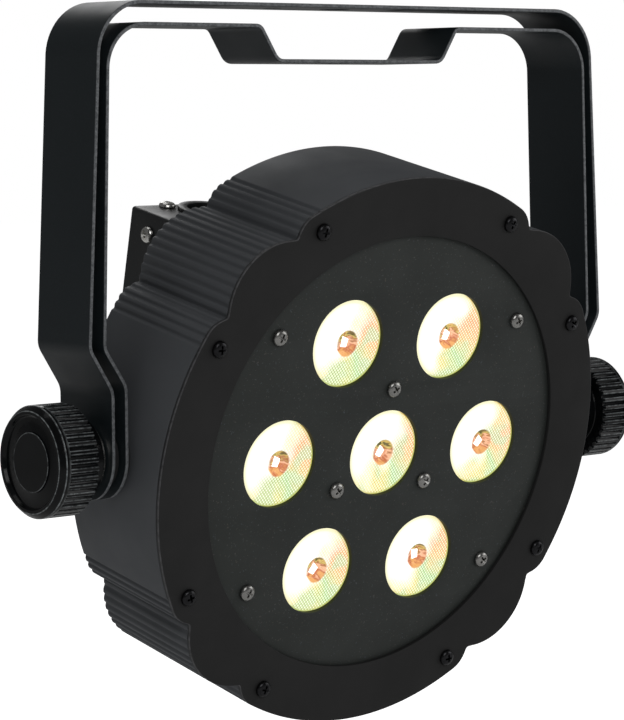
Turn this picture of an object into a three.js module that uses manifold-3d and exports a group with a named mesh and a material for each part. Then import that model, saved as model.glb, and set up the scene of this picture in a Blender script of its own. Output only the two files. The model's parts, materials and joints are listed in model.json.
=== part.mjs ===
// Slim LED par can: a round cast housing with seven collimator lenses, a sheet-metal control box on
// its back, and a double yoke clamped on two knobs. Units are millimetres, +Z is up, the beam leaves
// towards -Y and the origin is the hang point, on top of the outer yoke over the middle of its bar.
// Head pieces are modelled square in the head's own frame, whose origin is on the tilt axis, and the
// head group then tips them nose-down. In that frame the optical axis is the Y axis.
import * as THREE from 'three';
import { mergeVertices } from 'three/addons/utils/BufferGeometryUtils.js';
import Module from 'manifold-3d';

const wasm = await Module();
wasm.setup();

// ---- Driving dimensions -----------------------------------------------------------------------

const GAP = 0.3;                    // clearance kept between touching pieces
const TILT_DROP = 143.4;            // hang point down to the tilt axis
const REST_TILT = 12;               // degrees nose-down as stored

// Outline of the bezel and housing, seen along the beam: a circle whose four diagonals each have
// two rounded corners, two notches and a round lobe between them.
const OUTLINE_R = 94.3;
const CORNER_ANGLE = 29;            // degrees from the nearest axis to a corner's centre
const CORNER_R = 9;
const LOBE_DISTANCE = 74.9;
const LOBE_R = 21.9;
const NOTCH_BLEND = 1.6;

// Depths along the optical axis, front to back.
const BEZEL_FRONT = -26.4;
const BEZEL_THICK = 1.2;
const HOUSING_FRONT = BEZEL_FRONT + BEZEL_THICK + GAP;
const HOUSING_BACK = 22.3;
const HOUSING_WALL = 3.5;
const FLANGE_THICK = 3;
const PANEL_THICK = 2;
const PANEL_BACK = HOUSING_FRONT + PANEL_THICK;
const LENS_FRONT = -24.2;
const BOARD_FRONT = -5.5;
const BOARD_THICK = 1.6;
const SINK_FRONT = BOARD_FRONT + BOARD_THICK + GAP;
const SINK_THICK = 4;
const SINK_FIN_BACK = 12;

const BEZEL_OPENING_R = 74.65;
const PANEL_R = 78.7;
const BOARD_R = 71;
const SINK_R = 76;
const RIB_PITCH = 3;                // grooves run front to back on the four diagonals
const RIB_DEPTH = 0.9;
const RIB_FROM = 25;                // degrees either side of each axis that stay smooth

// Lenses and the screws of the front.
const LENS_PITCH = 45;
const LENS_R = 14.3;
const LENS_HOLE_R = 14.8;
const LENS_FLANGE_R = 16.6;
const BEZEL_SCREW = [41.1, 77.5];
const PANEL_SCREW = [52.2, 43];
const PANEL_SCREW_INNER_R = 22.35;
const SCREW_R = 1.4;
const SCREW_HEAD_R = 2.85;
const SCREW_HEAD_H = 1.5;
const SCREW_HOLE_R = 1.7;
const SCREW_RECESS = { reach: 1.7, half: 0.38, depth: 0.9 };
const BEZEL_SHANK = 11;
const PANEL_SHANK = 20.1;
const BOX_SHANK = 6;
const THROUGH = [-40, 0];           // depth span of a cutter that clears the bezel and panel
const SCREW_BOSS = { r: 3.6, back: -8, holeBack: -14 };
const LENS_RECESS = { depth: 2.2, floorR: 3, mouthR: 4.3 };
const LENS_CONE = { flangeThick: 1.8, tipR: 5.2, footR: 3.4, footLength: 3 };
const EMITTER = { r: 2.6, height: 2.2 };
const SINK_FIN = { pitch: 13, half: 1.1, circleR: 70, perSide: 4 };

// Back plate of the housing.
const REAR_PLATE_THICK = 2;
const CABLE_HOLE = { r: 18, z: 10 };
const VENT = { count: 4, firstX: 66, pitch: 5.2, halfW: 1.5, halfH: 14 };

// Rear box.
const BOX_HALF_W = 59;
const BOX_TOP = 68.4;
const BOX_BOTTOM = -52;
const BOX_FRONT = HOUSING_BACK + GAP;
const BOX_BACK = 51;
const SHEET = 1.5;
const SOCKET_Y = 37;
const DMX_X = 35;
const SOCKET_R = 10.5;
const DISPLAY_Z = 30;
const DISPLAY_SIZE = [36, 15];
const BUTTON_Z = 10;
const BUTTON_PITCH = 13;
const BUTTON_R = 3;
const BUTTON_COLLAR_R = 3.9;
const BUTTON_STEM = { r: 1.5, end: 46, collarFrom: 47.4 };
const BUTTON_PROUD = 1.8;
const BOX_TOP_SCREW = { x: 47, y: 47 };
const BOX_SIDE_SCREW = { y: 40, z: 61 };
const INLET_X = -22;
const INLET_SIZE = [27, 20];
const FUSE_X = 24;
const FUSE_R = 6.5;
const INLET_CUP = { halfW: 11.8, halfD: 8, chamfer: 4, depth: 14 };
const FUSE_CAP = { front: 2.3, back: 7.3, carrierR: 4.2, slotHalf: 0.7, slotFloor: 5.8 };
const SOCKET_FLANGE = { proud: 1.6, thick: 1.4 };
const SOCKET_FLOOR = 46;
const SOCKET_PIN_RING = 5.5;
const DMX_CUP = { r: 9, floor: 52 };
const DMX_PIN = { r: 1.2, from: 50, tip: 63 };
const DMX_OUT_GROOVE = { outerR: 9.2, innerR: 7.4, floor: 60 };
const DMX_CONTACT_R = 1.4;
const LATCH = { halfW: 3, from: 7.7, to: 9, bottom: 58, proud: 3.2 };
const LATCH_SLOT = { halfW: 3.3, from: 6.7, to: 9.3, floor: 56 };
const EYE = { y: 33, z: 79, ringR: 6.6, wireR: 1.6, shankR: 2, collarR: 4.5 };

// Yokes: 1.2 mm bands that joggle inwards above the knobs and lean in slightly towards the top.
const BAND_W = 28;
const BAND_T = 1.2;
const OUTER_YOKE = {
  armX: 104.15, joggleLow: 21.4, joggleHigh: 34.9, wideX: 112.7, topX: 108.2, topZ: TILT_DROP,
  cornerR: 18,
};
const INNER_YOKE = {
  armX: 98.98, joggleLow: 22.7, joggleHigh: 34.9, wideX: 107.1, topX: 104.6, topZ: 136.6, cornerR: 15,
};
const DROP_DEPTH = 11.3;            // the inner bar dips in the middle to clear the clamp bolt
const DROP_OUTER = 42.6;
const DROP_INNER = 35.4;
const HANG_HOLE_R = 5.25;
const SIDE_HOLE_R = 3.25;
const SIDE_HOLE_X = 27;
const STUD_HOLE_R = 4.5;

// Clamping stack on the tilt axis, as distances from the middle.
const PAD_SEAT = 95.4;
const STUD_R = 4;
const STUD_INNER = 81;
const INSERT_INNER = 79;
const INSERT_R = 6.5;
const WASHER_T = 1.6;
const STACK_R = 11;
const BOSS_R = 12;                  // round boss on each side of the housing
const KNOB_BACK = 111.6;
const KNOB_FACE = 126;
const KNOB_R = 17.9;
const KNOB_RIBS = 40;
const KNOB_RIM_R = 16.2;
const KNOB_DISC_R = 9.5;
const KNOB_HUB_R = 13;
const KNOB_RIB_DEPTH = 0.9;
const KNOB_CHAMFER = 1.8;
const KNOB_FACE_RECESS = 1.2;
const KNOB_DISC_RECESS = 0.5;
const STUD_TIP = 117.7;

// ---- Materials --------------------------------------------------------------------------------

function finish(color, roughness, metalness) {
  return { color, roughness, metalness };
}
const FINISH = {
  castBlack: finish(0x2b2d2f, 0.62, 0.2),
  bezelBlack: finish(0x1f2020, 0.6, 0.2),
  panelBlack: finish(0x1a1d1b, 0.7, 0.2),
  yokeBlack: finish(0x16191b, 0.5, 0.3),
  boxBlack: finish(0x17191a, 0.45, 0.3),
  knobBlack: finish(0x0d0e0f, 0.25, 0),
  plasticBlack: finish(0x101112, 0.4, 0),
  rubber: finish(0x0c0c0c, 0.9, 0),
  nylon: finish(0x1c1c1d, 0.5, 0),
  lens: finish(0xfff8d8, 0.15, 0),
  steel: finish(0xb9bbbd, 0.3, 1),
  blackSteel: finish(0x0e0e0f, 0.35, 0.8),
  aluminium: finish(0xa8abad, 0.4, 1),
  boardWhite: finish(0xe8e8e2, 0.6, 0),
  boardGreen: finish(0x1c5a36, 0.6, 0),
  window: finish(0x3a0d0d, 0.1, 0),
};

// ---- Geometry helpers -------------------------------------------------------------------------

const AXIS_X = new THREE.Vector3(1, 0, 0);
const AXIS_Y = new THREE.Vector3(0, 1, 0);
const AXIS_Z = new THREE.Vector3(0, 0, 1);
const MIDDLE = [0, 0, 0];

function radians(degrees) {
  return degrees * Math.PI / 180;
}

// A closed three.js geometry as a solid: shared vertices merged and collapsed triangles dropped.
function solid(geometry) {
  const bare = new THREE.BufferGeometry();
  bare.setAttribute('position', geometry.attributes.position.clone());
  if (geometry.index) bare.setIndex(geometry.index.clone());
  const merged = mergeVertices(bare, 1e-4);
  const corners = merged.index.array;
  const kept = [];
  for (let i = 0; i < corners.length; i += 3) {
    const [a, b, c] = [corners[i], corners[i + 1], corners[i + 2]];
    if (a !== b && b !== c && c !== a) kept.push(a, b, c);
  }
  const mesh = new wasm.Mesh({
    numProp: 3,
    vertProperties: new Float32Array(merged.attributes.position.array),
    triVerts: new Uint32Array(kept),
  });
  return new wasm.Manifold(mesh);
}

function cut(body, ...tools) {
  return tools.reduce((left, tool) => left.subtract(tool), body);
}

function join(body, ...others) {
  return others.reduce((whole, other) => whole.add(other), body);
}

function geometryOf(body) {
  const mesh = body.getMesh();
  const geometry = new THREE.BufferGeometry();
  geometry.setAttribute('position', new THREE.BufferAttribute(new Float32Array(mesh.vertProperties), 3));
  geometry.setIndex(new THREE.BufferAttribute(new Uint32Array(mesh.triVerts), 1));
  geometry.computeVertexNormals();
  return geometry;
}

// Extrude a shape drawn in XZ from y0 to y1, or one drawn in YZ from x0 to x1, or in XY from z0 to z1.
function extruded(shape, from, to, basis) {
  const options = { depth: to - from, bevelEnabled: false, curveSegments: 6 };
  const geometry = new THREE.ExtrudeGeometry(shape, options);
  geometry.translate(0, 0, from);
  geometry.applyMatrix4(basis);
  return solid(geometry);
}

function prismY(shape, y0, y1) {
  const flipped = new THREE.Matrix4().makeBasis(AXIS_X, AXIS_Z, AXIS_Y.clone().negate());
  return extruded(shape, -y1, -y0, flipped);
}

function prismX(shape, x0, x1) {
  return extruded(shape, x0, x1, new THREE.Matrix4().makeBasis(AXIS_Y, AXIS_Z, AXIS_X));
}

function prismZ(shape, z0, z1) {
  return extruded(shape, z0, z1, new THREE.Matrix4());
}

function block([x0, y0, z0], [x1, y1, z1]) {
  const geometry = new THREE.BoxGeometry(x1 - x0, y1 - y0, z1 - z0);
  geometry.translate((x0 + x1) / 2, (y0 + y1) / 2, (z0 + z1) / 2);
  return solid(geometry);
}

// A round rod along an axis, from one distance to another, through the given centre.
function rod(axis, radius, from, to, centre = MIDDLE, segments = 16) {
  const geometry = new THREE.CylinderGeometry(radius, radius, Math.abs(to - from), segments);
  const turn = new THREE.Quaternion().setFromUnitVectors(AXIS_Y, axis);
  geometry.applyQuaternion(turn);
  const middle = axis.clone().multiplyScalar((from + to) / 2).add(new THREE.Vector3(...centre));
  geometry.translate(middle.x, middle.y, middle.z);
  return solid(geometry);
}

// A turned body about Y from [radius, y] points that start and end on the axis, low y first.
function turned(profile, segments = 24) {
  const points = profile.map(([radius, y]) => new THREE.Vector2(radius, y));
  return solid(new THREE.LatheGeometry(points, segments));
}

function rectangle(width, height) {
  const [w, h] = [width / 2, height / 2];
  return new THREE.Shape().moveTo(-w, -h).lineTo(w, -h).lineTo(w, h).lineTo(-w, h);
}

// ---- Head outline -----------------------------------------------------------------------------

// Where a ray from the middle at the given angle last leaves a circle, or -1 if it misses it.
function rayOutOf(centreX, centreZ, radius, angle) {
  const along = centreX * Math.cos(angle) + centreZ * Math.sin(angle);
  const spread = along * along - (centreX * centreX + centreZ * centreZ - radius * radius);
  return spread > 0 ? along + Math.sqrt(spread) : -1;
}

function outlineRadius(angle) {
  const quarter = Math.PI / 2;
  const fromAxis = ((angle % quarter) + quarter) % quarter;
  const u = Math.min(fromAxis, quarter - fromAxis);
  const corner = radians(CORNER_ANGLE);
  const cornerX = (OUTLINE_R - CORNER_R) * Math.cos(corner);
  const cornerZ = (OUTLINE_R - CORNER_R) * Math.sin(corner);
  const base = u <= corner ? OUTLINE_R : rayOutOf(cornerX, cornerZ, CORNER_R, u);
  if (u < radians(CORNER_ANGLE - 6)) return base;
  const lobeX = LOBE_DISTANCE * Math.SQRT1_2;
  const lobe = rayOutOf(lobeX, lobeX, LOBE_R, u);
  return 0.5 * (base + lobe + Math.hypot(base - lobe, NOTCH_BLEND));
}

// Angles for one quarter turn: coarse on the smooth arc, fine over the corners and the lobe.
function quarterAngles(fineStep) {
  const angles = [];
  const smooth = 2 * RIB_FROM / 8;
  for (let i = 0; i < 8; i += 1) angles.push(-RIB_FROM + i * smooth);
  const span = 90 - 2 * RIB_FROM;
  const count = Math.round(span / fineStep);
  for (let i = 0; i < count; i += 1) angles.push(RIB_FROM + span * i / count);
  return angles;
}

function outlineShape(inset, fineStep) {
  const points = [];
  for (let quarter = 0; quarter < 4; quarter += 1) {
    for (const degrees of quarterAngles(fineStep)) {
      const angle = radians(degrees + 90 * quarter);
      const radius = outlineRadius(angle) - inset;
      points.push(new THREE.Vector2(radius * Math.cos(angle), radius * Math.sin(angle)));
    }
  }
  return new THREE.Shape(points);
}

// The housing's outline, with a groove between each two ribs over the diagonals.
function ribbedShape() {
  const points = [];
  const pitch = radians(90 - 2 * RIB_FROM) / Math.round(radians(90 - 2 * RIB_FROM) * OUTLINE_R / RIB_PITCH);
  const add = (angle, depth) => {
    const radius = outlineRadius(angle) - depth;
    points.push(new THREE.Vector2(radius * Math.cos(angle), radius * Math.sin(angle)));
  };
  for (let quarter = 0; quarter < 4; quarter += 1) {
    const start = radians(90 * quarter);
    for (let i = 0; i < 9; i += 1) add(start + radians(-RIB_FROM + 2 * RIB_FROM * i / 8), 0);
    const end = start + radians(90 - RIB_FROM) - pitch / 2;
    for (let angle = start + radians(RIB_FROM) + pitch; angle < end; angle += pitch) {
      add(angle - 0.3 * pitch, 0);
      add(angle, RIB_DEPTH);
      add(angle + 0.3 * pitch, 0);
    }
  }
  return new THREE.Shape(points);
}

// ---- Front positions --------------------------------------------------------------------------

function lensPlaces() {
  const places = [[0, 0]];
  for (let i = 0; i < 6; i += 1) {
    const angle = radians(60 * i);
    places.push([LENS_PITCH * Math.cos(angle), LENS_PITCH * Math.sin(angle)]);
  }
  return places;
}

function bezelScrewPlaces() {
  const [a, b] = BEZEL_SCREW;
  return [[a, b], [b, a], [b, -a], [a, -b], [-a, -b], [-b, -a], [-b, a], [-a, b]];
}

function panelScrewPlaces() {
  const [a, b] = PANEL_SCREW;
  const places = [[a, b], [a, -b], [-a, -b], [-a, b]];
  for (const degrees of [90, 210, 330]) {
    const angle = radians(degrees);
    places.push([PANEL_SCREW_INNER_R * Math.cos(angle), PANEL_SCREW_INNER_R * Math.sin(angle)]);
  }
  return places;
}

// ---- Head casings -----------------------------------------------------------------------------

function housing() {
  const shell = prismY(ribbedShape(), HOUSING_FRONT, HOUSING_BACK);
  const cavity = prismY(outlineShape(HOUSING_WALL, 4), HOUSING_FRONT + FLANGE_THICK, HOUSING_BACK + 1);
  const mouth = rod(AXIS_Y, PANEL_R + GAP, HOUSING_FRONT - 1, HOUSING_FRONT + FLANGE_THICK + 1, MIDDLE, 48);
  let body = cut(shell, cavity, mouth);
  for (const [x, z] of bezelScrewPlaces()) {
    const screwBoss = rod(AXIS_Y, SCREW_BOSS.r, HOUSING_FRONT + 1, SCREW_BOSS.back, [x, 0, z], 8);
    body = join(body, screwBoss.intersect(prismY(outlineShape(1.2, 4), HOUSING_FRONT, 0)));
  }
  for (const side of [-1, 1]) {
    body = join(body, rod(AXIS_X, BOSS_R, side * (INSERT_INNER - 1), side * PAD_SEAT, MIDDLE, 18));
    body = cut(body, rod(AXIS_X, INSERT_R + GAP, side * 70, side * (PAD_SEAT + 1), MIDDLE, 20));
  }
  for (const [x, z] of bezelScrewPlaces()) {
    body = cut(body, rod(AXIS_Y, SCREW_HOLE_R, HOUSING_FRONT - 1, SCREW_BOSS.holeBack, [x, 0, z], 8));
  }
  return body;
}

function bezel() {
  const plate = prismY(outlineShape(0, 2), BEZEL_FRONT, BEZEL_FRONT + BEZEL_THICK);
  const opening = rod(AXIS_Y, BEZEL_OPENING_R, BEZEL_FRONT - 1, HOUSING_FRONT, MIDDLE, 48);
  const holes = bezelScrewPlaces().map(([x, z]) => rod(AXIS_Y, SCREW_HOLE_R, ...THROUGH, [x, 0, z], 8));
  return cut(plate, opening, ...holes);
}

function frontPanel() {
  const plate = rod(AXIS_Y, PANEL_R, HOUSING_FRONT, PANEL_BACK, MIDDLE, 48);
  const lensHoles = lensPlaces().map(([x, z]) => rod(AXIS_Y, LENS_HOLE_R, ...THROUGH, [x, 0, z], 16));
  const screwHoles = panelScrewPlaces().map(([x, z]) => rod(AXIS_Y, SCREW_HOLE_R, ...THROUGH, [x, 0, z], 8));
  return cut(plate, ...lensHoles, ...screwHoles);
}

// Plate closing the housing's back, with a cable hole into the box and vent slots beside it.
function rearPlate() {
  const plate = prismY(outlineShape(HOUSING_WALL + GAP, 4), HOUSING_BACK - REAR_PLATE_THICK, HOUSING_BACK);
  const cableHole = rod(AXIS_Y, CABLE_HOLE.r, 0, 40, [0, 0, CABLE_HOLE.z], 24);
  const slots = [];
  for (const side of [-1, 1]) {
    for (let i = 0; i < VENT.count; i += 1) {
      const x = side * (VENT.firstX + VENT.pitch * i);
      slots.push(block([x - VENT.halfW, 0, -VENT.halfH], [x + VENT.halfW, 40, VENT.halfH]));
    }
  }
  return cut(plate, cableHole, ...slots);
}

// ---- Optics and electronics -------------------------------------------------------------------

// A collimator: a flat face in the panel's hole, a flange behind it and a cone down to the emitter.
function lens() {
  const flangeFront = PANEL_BACK + GAP;
  const coneBack = BOARD_FRONT - 0.9;
  const profile = [
    [0, LENS_FRONT + LENS_RECESS.depth],
    [LENS_RECESS.floorR, LENS_FRONT + LENS_RECESS.depth],
    [LENS_RECESS.mouthR, LENS_FRONT],
    [LENS_R, LENS_FRONT],
    [LENS_R, flangeFront],
    [LENS_FLANGE_R, flangeFront],
    [LENS_FLANGE_R, flangeFront + LENS_CONE.flangeThick],
    [LENS_CONE.tipR, coneBack],
    [LENS_CONE.footR, coneBack],
    [LENS_CONE.footR, coneBack - LENS_CONE.footLength],
    [0, coneBack - LENS_CONE.footLength],
  ];
  return turned(profile, 14);
}

function ledBoard() {
  const disc = rod(AXIS_Y, BOARD_R, BOARD_FRONT, BOARD_FRONT + BOARD_THICK, MIDDLE, 32);
  const emitterFront = BOARD_FRONT - EMITTER.height;
  const emitter = ([x, z]) => rod(AXIS_Y, EMITTER.r, emitterFront, BOARD_FRONT + 0.5, [x, 0, z], 8);
  const emitters = lensPlaces().map(emitter);
  const holes = panelScrewPlaces().map(([x, z]) => rod(AXIS_Y, SCREW_HOLE_R + 0.4, -40, 10, [x, 0, z], 6));
  return cut(join(disc, ...emitters), ...holes);
}

// Finned plate behind the LED board.
function heatSink() {
  let body = rod(AXIS_Y, SINK_R, SINK_FRONT, SINK_FRONT + SINK_THICK, MIDDLE, 32);
  const { pitch, half, circleR, perSide } = SINK_FIN;
  for (let i = -perSide; i <= perSide; i += 1) {
    const x = pitch * i;
    const reach = Math.sqrt(circleR * circleR - x * x);
    body = join(body, block([x - half, SINK_FRONT + 1, -reach], [x + half, SINK_FIN_BACK, reach]));
  }
  return body;
}

function rearBox() {
  const outside = block([-BOX_HALF_W, BOX_FRONT, BOX_BOTTOM], [BOX_HALF_W, BOX_BACK, BOX_TOP]);
  const inside = block(
    [-BOX_HALF_W + SHEET, BOX_FRONT - 1, BOX_BOTTOM + SHEET],
    [BOX_HALF_W - SHEET, BOX_BACK - SHEET, BOX_TOP - SHEET],
  );
  const socketHole = (x) => rod(AXIS_Z, SOCKET_R + GAP, 60, 80, [x, SOCKET_Y, 0], 20);
  const openings = [socketHole(-DMX_X), socketHole(DMX_X)];
  const window = prismY(rectangle(DISPLAY_SIZE[0] + 2 * GAP, DISPLAY_SIZE[1] + 2 * GAP), 40, 60);
  openings.push(window.translate([0, 0, DISPLAY_Z]));
  for (let i = 0; i < 4; i += 1) {
    openings.push(rod(AXIS_Y, BUTTON_R + GAP, 40, 60, [buttonX(i), 0, BUTTON_Z], 12));
  }
  const inlet = prismZ(rectangle(INLET_SIZE[0] + 2 * GAP, INLET_SIZE[1] + 2 * GAP), -60, -40);
  openings.push(inlet.translate([INLET_X, SOCKET_Y, 0]));
  openings.push(rod(AXIS_Z, FUSE_R + GAP, -60, -40, [FUSE_X, SOCKET_Y, 0], 16));
  const { y: topY, x: topX } = BOX_TOP_SCREW;
  openings.push(rod(AXIS_Z, SCREW_HOLE_R, 60, 80, [-topX, topY, 0], 8));
  openings.push(rod(AXIS_Z, SCREW_HOLE_R, 60, 80, [topX, topY, 0], 8));
  openings.push(rod(AXIS_X, SCREW_HOLE_R, -70, -50, [0, BOX_SIDE_SCREW.y, BOX_SIDE_SCREW.z], 8));
  return cut(outside, inside, ...openings);
}

function buttonX(index) {
  return (index - 1.5) * BUTTON_PITCH;
}

function powerBoard() {
  const board = block([-50, 27, -30], [50, 28.6, 4]);
  const transformer = block([-20, 28, -24], [4, 42, -4]);
  const capacitor = rod(AXIS_Y, 7, 28, 44, [20, 0, -14], 14);
  const coil = rod(AXIS_Y, 6, 28, 36, [-36, 0, -14], 14);
  return join(board, transformer, capacitor, coil);
}

// Board behind the display and buttons, with the display block and a switch under each button.
function controlBoard() {
  const board = block([-30, 39, 4], [30, 40.6, 42]);
  const display = block([-17, 40, DISPLAY_Z - 7], [17, BOX_BACK - SHEET - 1.5, DISPLAY_Z + 7]);
  const switches = [];
  for (let i = 0; i < 4; i += 1) {
    switches.push(block([buttonX(i) - 3, 40, BUTTON_Z - 3], [buttonX(i) + 3, 44, BUTTON_Z + 3]));
  }
  return join(board, display, ...switches);
}

function displayWindow() {
  const plate = prismY(rectangle(...DISPLAY_SIZE), BOX_BACK - SHEET - 0.5, BOX_BACK + 0.4);
  return plate.translate([0, 0, DISPLAY_Z]);
}

// A push cap with a retaining collar inside the wall and a stem that reaches its switch.
function button() {
  return turned([
    [0, BUTTON_STEM.end],
    [BUTTON_STEM.r, BUTTON_STEM.end],
    [BUTTON_STEM.r, BUTTON_STEM.collarFrom],
    [BUTTON_COLLAR_R, BUTTON_STEM.collarFrom],
    [BUTTON_COLLAR_R, BOX_BACK - SHEET - GAP],
    [BUTTON_R, BOX_BACK - SHEET - GAP],
    [BUTTON_R, BOX_BACK + BUTTON_PROUD - 0.5],
    [BUTTON_R - 0.5, BOX_BACK + BUTTON_PROUD],
    [0, BOX_BACK + BUTTON_PROUD],
  ], 10);
}

// ---- Sockets ----------------------------------------------------------------------------------

function socketShell() {
  const flangeTop = BOX_TOP + SOCKET_FLANGE.thick;
  const barrel = rod(AXIS_Z, SOCKET_R, SOCKET_FLOOR, BOX_TOP, MIDDLE, 18);
  const flange = rod(AXIS_Z, SOCKET_R + SOCKET_FLANGE.proud, BOX_TOP + GAP, flangeTop, MIDDLE, 18);
  return join(barrel, flange, rod(AXIS_Z, SOCKET_R, BOX_TOP - 1, flangeTop, MIDDLE, 18));
}

function pinPlaces() {
  return [-50, 90, 230].map((degrees) => {
    const angle = radians(degrees);
    return [SOCKET_PIN_RING * Math.cos(angle), SOCKET_PIN_RING * Math.sin(angle)];
  });
}

// Data input: an open cup with three pins standing in it.
function dmxInSocket() {
  const shell = socketShell();
  let body = cut(shell, rod(AXIS_Z, DMX_CUP.r, DMX_CUP.floor, 80, MIDDLE, 18));
  for (const [x, y] of pinPlaces()) {
    body = join(body, rod(AXIS_Z, DMX_PIN.r, DMX_PIN.from, DMX_PIN.tip, [x, y, 0], 6));
  }
  return body.translate([-DMX_X, SOCKET_Y, 0]);
}

// Data output: a solid insert with three contact holes, and a slot for the release latch.
function dmxOutSocket() {
  const shell = socketShell();
  const { outerR, innerR, floor } = DMX_OUT_GROOVE;
  const groove = cut(
    rod(AXIS_Z, outerR, floor, 80, MIDDLE, 18),
    rod(AXIS_Z, innerR, floor - 1, 81, MIDDLE, 18),
  );
  const holes = pinPlaces().map(([x, y]) => rod(AXIS_Z, DMX_CONTACT_R, 58, 80, [x, -y, 0], 6));
  const slot = LATCH_SLOT;
  const latchSlot = block([-slot.halfW, slot.from, slot.floor], [slot.halfW, slot.to, 80]);
  return cut(shell, groove, ...holes, latchSlot).translate([DMX_X, SOCKET_Y, 0]);
}

function dmxOutLatch() {
  const { halfW, from, to, bottom, proud } = LATCH;
  const tab = block([-halfW, from, bottom], [halfW, to, BOX_TOP + proud]);
  return tab.translate([DMX_X, SOCKET_Y, 0]);
}

// Mains inlet on the underside: a rectangular cup with two corners cut and three blades.
function powerInlet() {
  const [w, d] = INLET_SIZE;
  const bodyBlock = prismZ(rectangle(w, d), BOX_BOTTOM - 1, BOX_BOTTOM + 20);
  const flange = prismZ(rectangle(w + 4, d + 4), BOX_BOTTOM - 2.3, BOX_BOTTOM - GAP);
  const cup = new THREE.Shape();
  const { halfW: cw, halfD: cd, chamfer, depth } = INLET_CUP;
  cup.moveTo(-cw, -cd).lineTo(cw, -cd).lineTo(cw, cd - chamfer).lineTo(cw - chamfer, cd);
  cup.lineTo(-cw + chamfer, cd).lineTo(-cw, cd - chamfer);
  let body = cut(join(bodyBlock, flange), prismZ(cup, BOX_BOTTOM - 5, BOX_BOTTOM + depth));
  for (const [x, y] of [[-7, -2], [7, -2], [0, 2.6]]) {
    body = join(body, block([x - 1, y - 2, BOX_BOTTOM + 3], [x + 1, y + 2, BOX_BOTTOM + 16]));
  }
  return body.translate([INLET_X, SOCKET_Y, 0]);
}

function fuseHolder() {
  const barrel = rod(AXIS_Z, FUSE_R, BOX_BOTTOM - 1, BOX_BOTTOM + 24, MIDDLE, 14);
  const flange = rod(AXIS_Z, FUSE_R + 2, BOX_BOTTOM - 2, BOX_BOTTOM - GAP, MIDDLE, 14);
  const bore = rod(AXIS_Z, 4.6, BOX_BOTTOM - 5, BOX_BOTTOM + 20, MIDDLE, 12);
  return cut(join(barrel, flange), bore).translate([FUSE_X, SOCKET_Y, 0]);
}

// Bayonet cap with a screwdriver slot, and the carrier that reaches into the holder.
function fuseCap() {
  const { front, back, carrierR, slotHalf, slotFloor } = FUSE_CAP;
  const head = rod(AXIS_Z, FUSE_R, BOX_BOTTOM - back, BOX_BOTTOM - front, MIDDLE, 20);
  const carrier = rod(AXIS_Z, carrierR, BOX_BOTTOM - 3, BOX_BOTTOM + 16, MIDDLE, 16);
  const slot = block([-8, -slotHalf, BOX_BOTTOM - 9], [8, slotHalf, BOX_BOTTOM - slotFloor]);
  return cut(join(head, carrier), slot).translate([FUSE_X, SOCKET_Y, 0]);
}

// ---- Fasteners --------------------------------------------------------------------------------

// A cross-recessed pan-head screw along Y, seated at y = 0 with its head towards -Y.
function screw(shankLength) {
  const top = -GAP - SCREW_HEAD_H;
  const body = turned([
    [0, top],
    [SCREW_HEAD_R * 0.8, top + 0.25],
    [SCREW_HEAD_R, -GAP],
    [SCREW_R, -GAP],
    [SCREW_R, shankLength],
    [0, shankLength],
  ], 8);
  const { reach, half, depth } = SCREW_RECESS;
  const across = block([-reach, top - 1, -half], [reach, top + depth, half]);
  const upright = block([-half, top - 1, -reach], [half, top + depth, reach]);
  return cut(body, join(across, upright));
}

// An eye for a safety wire, standing on the rear plate above the box.
function safetyEye() {
  const ring = new THREE.TorusGeometry(EYE.ringR, EYE.wireR, 6, 16);
  ring.rotateY(Math.PI / 2);
  ring.translate(0, EYE.y, EYE.z);
  const base = HOUSING_BACK + GAP;
  const shank = rod(AXIS_Y, EYE.shankR, base, EYE.y - 5.6, [0, 0, EYE.z], 10);
  const collar = rod(AXIS_Y, EYE.collarR, base, HOUSING_BACK + 2.5, [0, 0, EYE.z], 12);
  return join(solid(ring), shank, collar);
}

// ---- Yokes ------------------------------------------------------------------------------------

// Half of a band's outer face in XZ, from the arm's end up to the middle of the bar.
function yokeFace(yoke, inset, drop) {
  const { armX, joggleLow, joggleHigh, wideX, topX, topZ, cornerR } = yoke;
  const slope = inset * 0.3;
  const points = [
    [armX - inset, -BAND_W],
    [armX - inset, joggleLow + slope],
    [wideX - inset, joggleHigh + slope],
  ];
  const radius = cornerR - inset;
  const [centreX, centreZ] = [topX - cornerR, topZ - cornerR];
  for (let i = 0; i <= 8; i += 1) {
    const angle = radians(90 * i / 8);
    points.push([centreX + radius * Math.cos(angle), centreZ + radius * Math.sin(angle)]);
  }
  if (drop) {
    points.push([DROP_OUTER - slope * 2, topZ - inset]);
    points.push([DROP_INNER - slope * 2, topZ - inset - DROP_DEPTH]);
  }
  return points;
}

function yoke(dimensions, drop) {
  const outer = yokeFace(dimensions, 0, drop);
  const inner = yokeFace(dimensions, BAND_T, drop);
  const mirrored = (points) => points.map(([x, z]) => [-x, z]).reverse();
  const loop = [...outer, ...mirrored(outer), ...mirrored(inner).reverse(), ...inner.slice().reverse()];
  const section = new THREE.Shape(loop.map(([x, z]) => new THREE.Vector2(x, z)));
  const band = prismY(section, -BAND_W / 2, BAND_W / 2);
  const sideView = new THREE.Shape();
  sideView.absarc(0, 0, BAND_W / 2, Math.PI, 2 * Math.PI);
  sideView.lineTo(BAND_W / 2, 200).lineTo(-BAND_W / 2, 200);
  const trimmed = band.intersect(prismX(sideView, -150, 150));
  return cut(trimmed, rod(AXIS_X, STUD_HOLE_R, -150, 150, MIDDLE, 20));
}

function outerYoke() {
  const hangHole = rod(AXIS_Z, HANG_HOLE_R, 130, 160, MIDDLE, 18);
  const sideHole = (x) => rod(AXIS_Z, SIDE_HOLE_R, 130, 160, [x, 0, 0], 16);
  return cut(yoke(OUTER_YOKE, false), hangHole, sideHole(-SIDE_HOLE_X), sideHole(SIDE_HOLE_X));
}

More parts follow.
